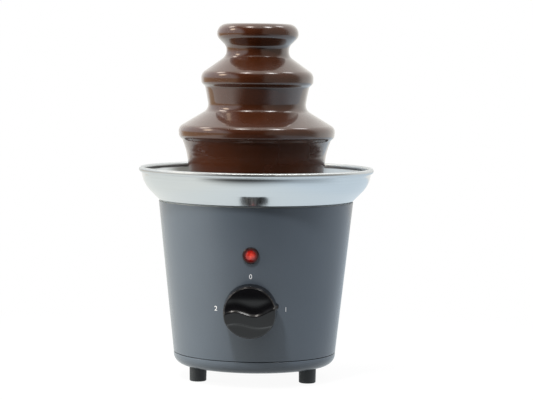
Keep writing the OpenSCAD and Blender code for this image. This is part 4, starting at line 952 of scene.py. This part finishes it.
class FOUNTAIN_OT_knob(bpy.types.Operator):
    """Makes the black knob: an S-shaped grip with hollow walls between two scoops, and a pointer at the edge"""
    bl_idname = "fountain.knob"
    bl_label = "Knob"

    def execute(self, context):
        c = context.scene.fountain_controls
        rings, segments, samples = 120, 320, 600
        edge, body_r, bevel = c.knob_r, c.knob_r - 0.7 * MM, 1 * MM
        scoop_ease, wall_ease = 0.5 * MM, 0.4 * MM
        skirt_h, hollow_r, hollow_z = c.knob_gap + 1 * MM, 11 * MM, 4 * MM
        wave_turn, upper_start, lower_start = radians(214), radians(130), radians(105)
        wall_drop, wall_fade = 1.9 * MM, 1.15 * MM
        scoop_h, scoop_flat = c.knob_rim_h + 3.6 * MM, 8 * MM
        nose_l, nose_at, nose_wide, nose_h = 1.4 * MM, radians(10), 0.09, 1.4 * MM

        def larger(a, b, soft):
            """The larger of two heights, with the crease between them eased."""
            near = max(0.0, 1 - abs(a - b) / (2 * soft))
            return max(a, b) + near * near * soft / 2

        def drop(u):
            """Depth of the grip's hollow wall at a distance from its edge."""
            if u < 0:
                return 1.85 * u
            return wall_drop * (1 - exp(-u / wall_fade)) + 0.26 * u

        def height(x, y):
            """Height of the knob's face in front of the wall."""
            r = hypot(x, y)
            # The grip's flat top lies between two waving edges, and its walls fall away from them
            wave = wave_turn * x / edge
            upper = 0.3 * MM + 0.85 * c.grip_swing * cos(wave + upper_start) + 0.1 * x
            lower = 1.2 * MM - c.grip_t + 0.52 * c.grip_swing * cos(wave + lower_start)
            grip = c.knob_grip_h - 0.4 * MM * (r / edge) ** 2
            for u in (y - upper, lower - y):
                grip = -larger(-grip, drop(u) - c.knob_grip_h, wall_ease)
            scoop = scoop_h - (18 if y > 0 else 12) * max(0.0, abs(y) - scoop_flat) ** 2
            side = skirt_h + (c.knob_grip_h - skirt_h) * (edge - r) / (edge - body_r)
            past = min(1.0, max(0.0, (r - body_r + bevel) / bevel))
            return min(larger(scoop, grip, scoop_ease) - bevel * (1 - sqrt(1 - past * past)), side)

        def spoke(angle):
            """Points from the middle to the edge at even steps, with the pointer drawn out near its angle."""
            radii = [edge * i / samples for i in range(samples + 1)]
            path = [(r, height(r * cos(angle), r * sin(angle))) for r in radii]
            run = [0.0]
            for (r, z), (q, w) in zip(path, path[1:]):
                run.append(run[-1] + hypot(q - r, w - z))
            nose = nose_l * exp(-((angle - nose_at) / nose_wide) ** 4)
            points, i = [], 0
            for k in range(1, rings + 1):
                goal = run[-1] * k / rings
                while i < samples - 1 and run[i + 1] < goal:
                    i += 1
                share = (goal - run[i]) / (run[i + 1] - run[i])
                r, z = (a + share * (b - a) for a, b in zip(path[i], path[i + 1]))
                low = min(1.0, max(0.0, (c.knob_rim_h - z) / nose_h))
                points.append((r + nose * low * max(0.0, (r - 0.8 * edge) / (0.2 * edge)), z))
            return points

        turns = [2 * pi * k / segments - pi for k in range(segments)]
        spokes = [spoke(a) for a in turns]
        under = [(edge - 0.4 * MM, c.knob_gap), (hollow_r, c.knob_gap), (hollow_r, hollow_z)]
        loops = [[line[i] for line in spokes] for i in range(rings)] + [[p] * segments for p in under]
        verts = [(r * cos(a), r * sin(a), z) for loop in loops for (r, z), a in zip(loop, turns)]
        top, bottom, last = len(verts), len(verts) + 1, len(verts) - segments
        verts += [(0, 0, height(0, 0)), (0, 0, hollow_z)]
        faces = []
        for k in range(segments):
            n = (k + 1) % segments
            faces += [(top, k, n), (bottom, last + n, last + k)]
            faces += [(i + k, i + segments + k, i + segments + n, i + n) for i in range(0, last, segments)]
        mesh = shell(verts, faces)
        mesh.transform(wall_matrix(c.knob_z, FRONT))
        settle(show("knob_s_grip", mesh), "knob_black", "knob", ["knob"], sharp=60)
        return {"FINISHED"}


class FOUNTAIN_OT_lamp(bpy.types.Operator):
    """Makes the pilot lamp: a smoky bezel round a faceted red lens"""
    bl_idname = "fountain.lamp"
    bl_label = "Pilot lamp"

    def execute(self, context):
        c = context.scene.fountain_controls
        r, lens = c.bezel_d / 2, c.lens_d / 2
        low, face, bore = 0.3 * MM, 1.5 * MM, lens + 0.1 * MM
        seat = wall_matrix(c.lamp_z, FRONT)
        ring = lathe(rounded([
            (bore, low), (r, low), (r, 0.9 * MM, 0.25 * MM), (r - 0.6 * MM, face, 0.3 * MM),
            (lens + 0.7 * MM, face, 0.2 * MM), (bore, 1.1 * MM)]), 96)
        ring.transform(seat)
        settle(show("lamp_bezel_ring", ring), "bezel_black", "base", ["lamp_bezel"])
        cloud = bmesh.new()
        # Radius, height, number and turn of the facets' corners
        for radius, z, count, turn in (
                (0.0, 2.3 * MM, 1, 0), (lens * 0.36, 2.05 * MM, 6, 0), (lens * 0.7, 1.75 * MM, 12, 0.5),
                (lens, 1.2 * MM, 12, 0), (lens, low, 12, 0), (0.0, low, 1, 0)):
            for k in range(count):
                a = 2 * pi * (k + turn) / count
                cloud.verts.new((radius * cos(a), radius * sin(a), z))
        bmesh.ops.convex_hull(cloud, input=cloud.verts)
        bmesh.ops.recalc_face_normals(cloud, faces=cloud.faces)
        gem = bpy.data.meshes.new("lamp_lens_facets")
        cloud.to_mesh(gem)
        cloud.free()
        gem.transform(seat)
        settle(show("lamp_lens_facets", gem), "lens_red", "base", ["lamp_lens"], sharp=4)
        return {"FINISHED"}


class FOUNTAIN_OT_marks(bpy.types.Operator):
    """Prints the dial's plain numbers on the wall round the knob"""
    bl_idname = "fountain.marks"
    bl_label = "Dial numbers"

    def execute(self, context):
        c = context.scene.fountain_controls
        cap, half_t, clear = 0.72, 0.04 * MM, 0.02 * MM
        rise = (wall_matrix(c.knob_z, FRONT).to_3x3() @ Vector((0, 1, 0))).z
        for digit, x, y in (("0", 0, c.mark_up), ("1", c.mark_side, 0), ("2", -c.mark_side, 0)):
            text = bpy.data.curves.new("digit", "FONT")
            text.body = digit
            text.size = c.mark_h / cap
            text.align_x = "CENTER"
            text.extrude = half_t
            written = bpy.data.objects.new("digit", text)
            context.scene.collection.objects.link(written)
            context.view_layer.update()
            mesh = bpy.data.meshes.new_from_object(written.evaluated_get(context.evaluated_depsgraph_get()))
            bpy.data.objects.remove(written)
            for v in mesh.vertices:
                z = c.knob_z + (y - c.mark_h / 2 + v.co.y) * rise
                r = wall_radius(z) + v.co.z + clear
                a = (x + v.co.x) / r
                v.co = (r * sin(a), -r * cos(a), z)
            settle(show("dial_number_" + digit, outwards(mesh)), "dial_ink", "base")
        return {"FINISHED"}


class FOUNTAIN_OT_gland(bpy.types.Operator):
    """Makes the cord gland at the back: a flanged bush with grip ribs round its flange"""
    bl_idname = "fountain.gland"
    bl_label = "Cord gland"

    def execute(self, context):
        base = context.scene.fountain_base
        bore, neck_r, barb_r, flange_r = 3.6 * MM, 6.1 * MM, 6.8 * MM, 8.2 * MM
        inner_end, barb_z, seat, outer_end = -8 * MM, -4.1 * MM, 1.2 * MM, 4.6 * MM
        bush = show("cord_gland_bush", lathe(rounded([
            (bore, inner_end), (5.4 * MM, inner_end, 0.4 * MM), (barb_r, barb_z, 0.3 * MM), (neck_r, barb_z),
            (neck_r, seat), (flange_r, seat, 0.3 * MM), (flange_r, 3 * MM, 0.5 * MM),
            (6.8 * MM, outer_end, 0.5 * MM), (bore, outer_end, 0.5 * MM)]), 96))
        rib_r, rib_low = 0.45 * MM, seat + 0.05 * MM
        rib = lathe(rounded([(0, rib_low), (rib_r, rib_low), (rib_r, 2.9 * MM, 0.3 * MM), (0, 2.95 * MM)]), 10)
        ribs = ring_of(rib, 24, flange_r - 0.1 * MM, 0, "foot_rubber")
        carve(bush, [ribs.data.copy()], "UNION")
        bpy.data.objects.remove(ribs)
        bush.data.transform(wall_matrix(base.gland_z, BACK))
        settle(bush, "foot_rubber", "base", ["cord_gland"])
        return {"FINISHED"}


class FOUNTAIN_OT_inner_parts(bpy.types.Operator):
    """Gives each packed part that stays its finish: the tower's plastic, the drive and the base's inside"""
    bl_idname = "fountain.inner_parts"
    bl_label = "Inner parts"

    def execute(self, context):
        for name, part in frame["nodes"].items():
            part.data.materials.clear()
            part.data.materials.append(FINISH[SLOT_OF[name]])
        return {"FINISHED"}


class FOUNTAIN_OT_stage(bpy.types.Operator):
    """Sets the white floor, the studio light and the camera"""
    bl_idname = "fountain.stage"
    bl_label = "Stage"

    def floor(self):
        """A round sheet of white paper, which mirrors see as a lit patch in a dark room."""
        material, tree, place = start_finish("floor_white_paper")
        rays = add(tree, "ShaderNodeLightPath").outputs
        x, y, _ = add(tree, SEPARATE, {0: place}).outputs
        away = add(tree, VECTOR, {"operation": "LENGTH", 0: place})
        # The paper keeps a trace of the shadow near the feet, and is plain white further out
        plain = add(tree, RANGE, {**SMOOTH, "Value": away, "From Min": 0.1, "From Max": 0.4,
                                  "To Min": 0.94, "To Max": 1.0})
        # Mirrors see it nearly white on the left, cool on the right, and dark towards the room in front
        side = add(tree, RANGE, {"Value": x, "From Min": -0.2, "From Max": 0.2})
        tint = add(tree, MIX, {**RGBA, 0: side, 6: linear("#f9faf5"), 7: linear("#e0ecf5")})
        squeezed = add(tree, VECTOR, {"operation": "MULTIPLY", 0: place, 1: (1.1, 1, 1)})
        dark = add(tree, VECTOR, {"operation": "DISTANCE", 0: squeezed, 1: (-0.12, -1.0, 0)})
        ends = add(tree, RANGE, {**SMOOTH, "Value": dark, "From Min": 0.54, "From Max": 0.84,
                                 "To Min": 0.06, "To Max": 1.0})
        # The lit patch also fades far out in the corner that is to the right and in front
        far = add(tree, RANGE, {**SMOOTH, "Value": away, "From Min": 0.22, "From Max": 0.45,
                                "To Min": 1.0, "To Max": 0.57})
        right = add(tree, RANGE, {**SMOOTH, "Value": x, "From Min": 0.05, "From Max": 0.25})
        front = add(tree, RANGE, {**SMOOTH, "Value": y, "From Min": 0.05, "From Max": -0.35})
        corner = add(tree, MATH, {"operation": "MULTIPLY", 0: right, 1: front})
        lit = add(tree, MIX, {0: corner, 2: 1.0, 3: far})
        level = add(tree, MATH, {"operation": "MULTIPLY", 0: ends, 1: lit})
        # Its bounce is held low, because the room in front takes most of it away
        bounce = add(tree, MIX, {**RGBA, 0: rays["Is Camera Ray"], 6: (0.15, 0.15, 0.15, 1),
                                 7: (0.8, 0.8, 0.8, 1)})
        paper = add(tree, "ShaderNodeBsdfDiffuse", {"Color": bounce})
        white = add(tree, "ShaderNodeEmission", {"Color": (1, 1, 1, 1), "Strength": 1.0})
        mirrored = add(tree, "ShaderNodeEmission", {"Color": tint, "Strength": level})
        share = add(tree, MATH, {"operation": "MULTIPLY", 0: plain, 1: rays["Is Camera Ray"]})
        seen = add(tree, "ShaderNodeMixShader", {0: share, 1: paper, 2: white})
        end_finish(material, add(tree, "ShaderNodeMixShader", {0: rays["Is Glossy Ray"], 1: seen, 2: mirrored}))
        steps, sunk = 96, -0.2 * MM
        turns = [2 * pi * k / steps for k in range(steps)]
        mesh = shell([(cos(a), sin(a), sunk) for a in turns], [list(range(steps))])
        mesh.materials.append(material)
        show("floor", mesh)

    def surroundings(self, scene):
        """The world: white for the camera, a studio for mirrors, and soft light for matt surfaces."""
        scene.world = bpy.data.worlds.new("studio")
        scene.world.use_nodes = True
        tree = scene.world.node_tree
        tree.nodes.clear()
        rays = add(tree, "ShaderNodeLightPath").outputs
        looks = add(tree, "ShaderNodeTexCoord").outputs["Generated"]
        towards = add(tree, SEPARATE, {0: looks}).outputs
        # Mirrors show a dark room in front, a grey wall on the right, a white backdrop, a left wall that is
        # warm below and pale above, and a pale ceiling
        rise = add(tree, RANGE, {"Value": towards[2], "From Min": -0.05, "From Max": 0.1})
        left = add(tree, MIX, {**RGBA, 0: rise, 6: linear("#c9ae8e"), 7: linear("#eef2f4")})
        seen = linear("#1c1a18")
        for axis, start, end, wall in ((0, 0.18, 0.36, linear("#8f8a82")), (1, 0.0, 0.4, linear("#fffdf8")),
                                       (0, -0.5, -0.75, left), (2, 0.8, 0.95, linear("#fffaf0"))):
            share = add(tree, RANGE, {**SMOOTH, "Value": towards[axis], "From Min": start, "From Max": end})
            seen = add(tree, MIX, {**RGBA, 0: share, 6: seen, 7: wall})
        # Over them lie the soft windows of the lamps: direction, colour, strength and half width in degrees
        for place, colour, strength, wide in (
                ((-0.24, -0.20, 0.95), "#fff6ee", 5.0, 10), ((0.32, -0.15, 0.93), "#ffffff", 5.0, 10),
                ((-0.24, -0.20, 0.95), "#ffffff", 9.0, 4), ((0.32, -0.15, 0.93), "#ffffff", 9.0, 4),
                ((-0.62, 0.31, 0.72), "#fff2e4", 4.0, 9), ((0.47, 0.33, 0.82), "#ffffff", 3.5, 9),
                ((-0.83, -0.08, 0.55), "#ffe6c8", 5.0, 10)):
            near = add(tree, VECTOR, {"operation": "DOT_PRODUCT", 0: looks, 1: Vector(place).normalized()})
            glow = add(tree, RANGE, {**SMOOTH, "Value": near, "From Min": cos(radians(wide)),
                                     "From Max": cos(radians(wide * 0.3)), "To Max": strength})
            tinted = add(tree, VECTOR, {"operation": "SCALE", 0: linear(colour)[:3], "Scale": glow})
            seen = add(tree, VECTOR, {"operation": "ADD", 0: seen, 1: tinted})
        # The soft light on matt surfaces comes mostly from overhead
        height = add(tree, MATH, {"operation": "MAXIMUM", 0: towards[2], 1: 0.0})
        high = add(tree, MATH, {"operation": "POWER", 0: height, 1: 3.0})
        soft = add(tree, MATH, {"operation": "MULTIPLY_ADD", 0: high, 1: 2.6, 2: 0.085})
        unseen = add(tree, MIX, {**RGBA, 0: rays["Is Glossy Ray"], 6: soft, 7: seen})
        shown = add(tree, MIX, {**RGBA, 0: rays["Is Camera Ray"], 6: unseen, 7: (1, 1, 1, 1)})
        light = add(tree, "ShaderNodeBackground", {"Color": shown, "Strength": 1.0})
        add(tree, "ShaderNodeOutputWorld", {0: light})

    def lamp(self, scene, name, place, size, power, colour):
        """An area light that looks at the middle of the fountain. Mirrors see the surroundings in its place."""
        light = bpy.data.lights.new(name, "AREA")
        light.size = size
        light.energy = power
        light.color = linear(colour)[:3]
        holder = bpy.data.objects.new(name, light)
        aim = Vector((0, 0, 0.12)) - Vector(place)
        holder.matrix_world = Matrix.Translation(place) @ aim.to_track_quat("-Z", "Y").to_matrix().to_4x4()
        holder.visible_glossy = False
        scene.collection.objects.link(holder)

    def camera(self, scene):
        """The photograph's view. focal, horizon, wide and high are in pixels, the other lengths in metres."""
        distance, height, focal, horizon = 1.4, 0.2237, 1994, 60
        azimuth, roll, aside = radians(2.8), radians(0.65), 0.00735
        wide, high, sensor = 533, 400, 36
        pitch = atan((high / 2 - horizon) / focal)
        place = Vector((distance * sin(azimuth), -distance * cos(azimuth), height))
        right = Vector((cos(azimuth), sin(azimuth), 0))
        aim = right * aside + Vector((0, 0, height - distance * tan(pitch))) - place
        back = -aim.normalized()
        across = aim.cross(Vector((0, 0, 1))).normalized()
        up = back.cross(across)
        turned = across * cos(roll) + up * sin(roll)
        lens = bpy.data.cameras.new("camera")
        lens.sensor_fit = "HORIZONTAL"
        lens.sensor_width = sensor
        lens.lens = focal / wide * sensor
        lens.clip_end = 20
        viewer = bpy.data.objects.new("camera", lens)
        axes = Matrix((turned, back.cross(turned), back)).transposed()
        viewer.matrix_world = Matrix.Translation(place) @ axes.to_4x4()
        scene.collection.objects.link(viewer)
        scene.camera = viewer

    def execute(self, context):
        scene = context.scene
        scene.view_settings.view_transform = "Standard"
        self.floor()
        self.surroundings(scene)
        self.lamp(scene, "key_light", (-0.30, -0.92, 1.42), 0.16, 17, "#ffffff")
        self.lamp(scene, "left_softbox", (-1.50, -0.12, 0.45), 1.0, 42, "#fff9ee")
        self.lamp(scene, "right_softbox", (1.50, 0.35, 0.45), 1.0, 14, "#f4f8ff")
        self.camera(scene)
        return {"FINISHED"}


class FOUNTAIN_PT_pieces(bpy.types.Panel):
    """Lists the pieces of the fountain in the order in which they are made"""
    bl_idname = "FOUNTAIN_PT_pieces"
    bl_label = "Chocolate fountain"
    bl_space_type = "VIEW_3D"
    bl_region_type = "UI"
    bl_category = "Fountain"

    def draw(self, context):
        for piece in PIECES:
            self.layout.operator(piece.bl_idname)
        for name, group in GROUPS.items():
            self.layout.label(text=group.__doc__)
            for key in group.__annotations__:
                self.layout.prop(getattr(context.scene, name), key)


PIECES = (FOUNTAIN_OT_stage, FOUNTAIN_OT_inner_parts, FOUNTAIN_OT_housing, FOUNTAIN_OT_cover, FOUNTAIN_OT_feet,
          FOUNTAIN_OT_bowl, FOUNTAIN_OT_pool, FOUNTAIN_OT_flow, FOUNTAIN_OT_auger, FOUNTAIN_OT_knob,
          FOUNTAIN_OT_lamp, FOUNTAIN_OT_marks, FOUNTAIN_OT_gland)
GROUPS = {"fountain_base": FountainBase, "fountain_bowl": FountainBowl, "fountain_tower": FountainTower,
          "fountain_controls": FountainControls, "fountain_colours": FountainColours}


def register():
    for name, group in GROUPS.items():
        bpy.utils.register_class(group)
        setattr(bpy.types.Scene, name, PointerProperty(type=group))
    for piece in (*PIECES, FOUNTAIN_PT_pieces):
        bpy.utils.register_class(piece)


def unregister():
    for piece in (FOUNTAIN_PT_pieces, *reversed(PIECES)):
        bpy.utils.unregister_class(piece)
    for name, group in GROUPS.items():
        delattr(bpy.types.Scene, name)
        bpy.utils.unregister_class(group)


def main():
    register()
    make_finishes()
    for piece in PIECES:
        made = getattr(bpy.ops.fountain, piece.bl_idname.split(".")[1])()
        if made != {"FINISHED"}:
            raise RuntimeError(f"{piece.bl_label} was not finished")


if __name__ == "__main__":
    main()
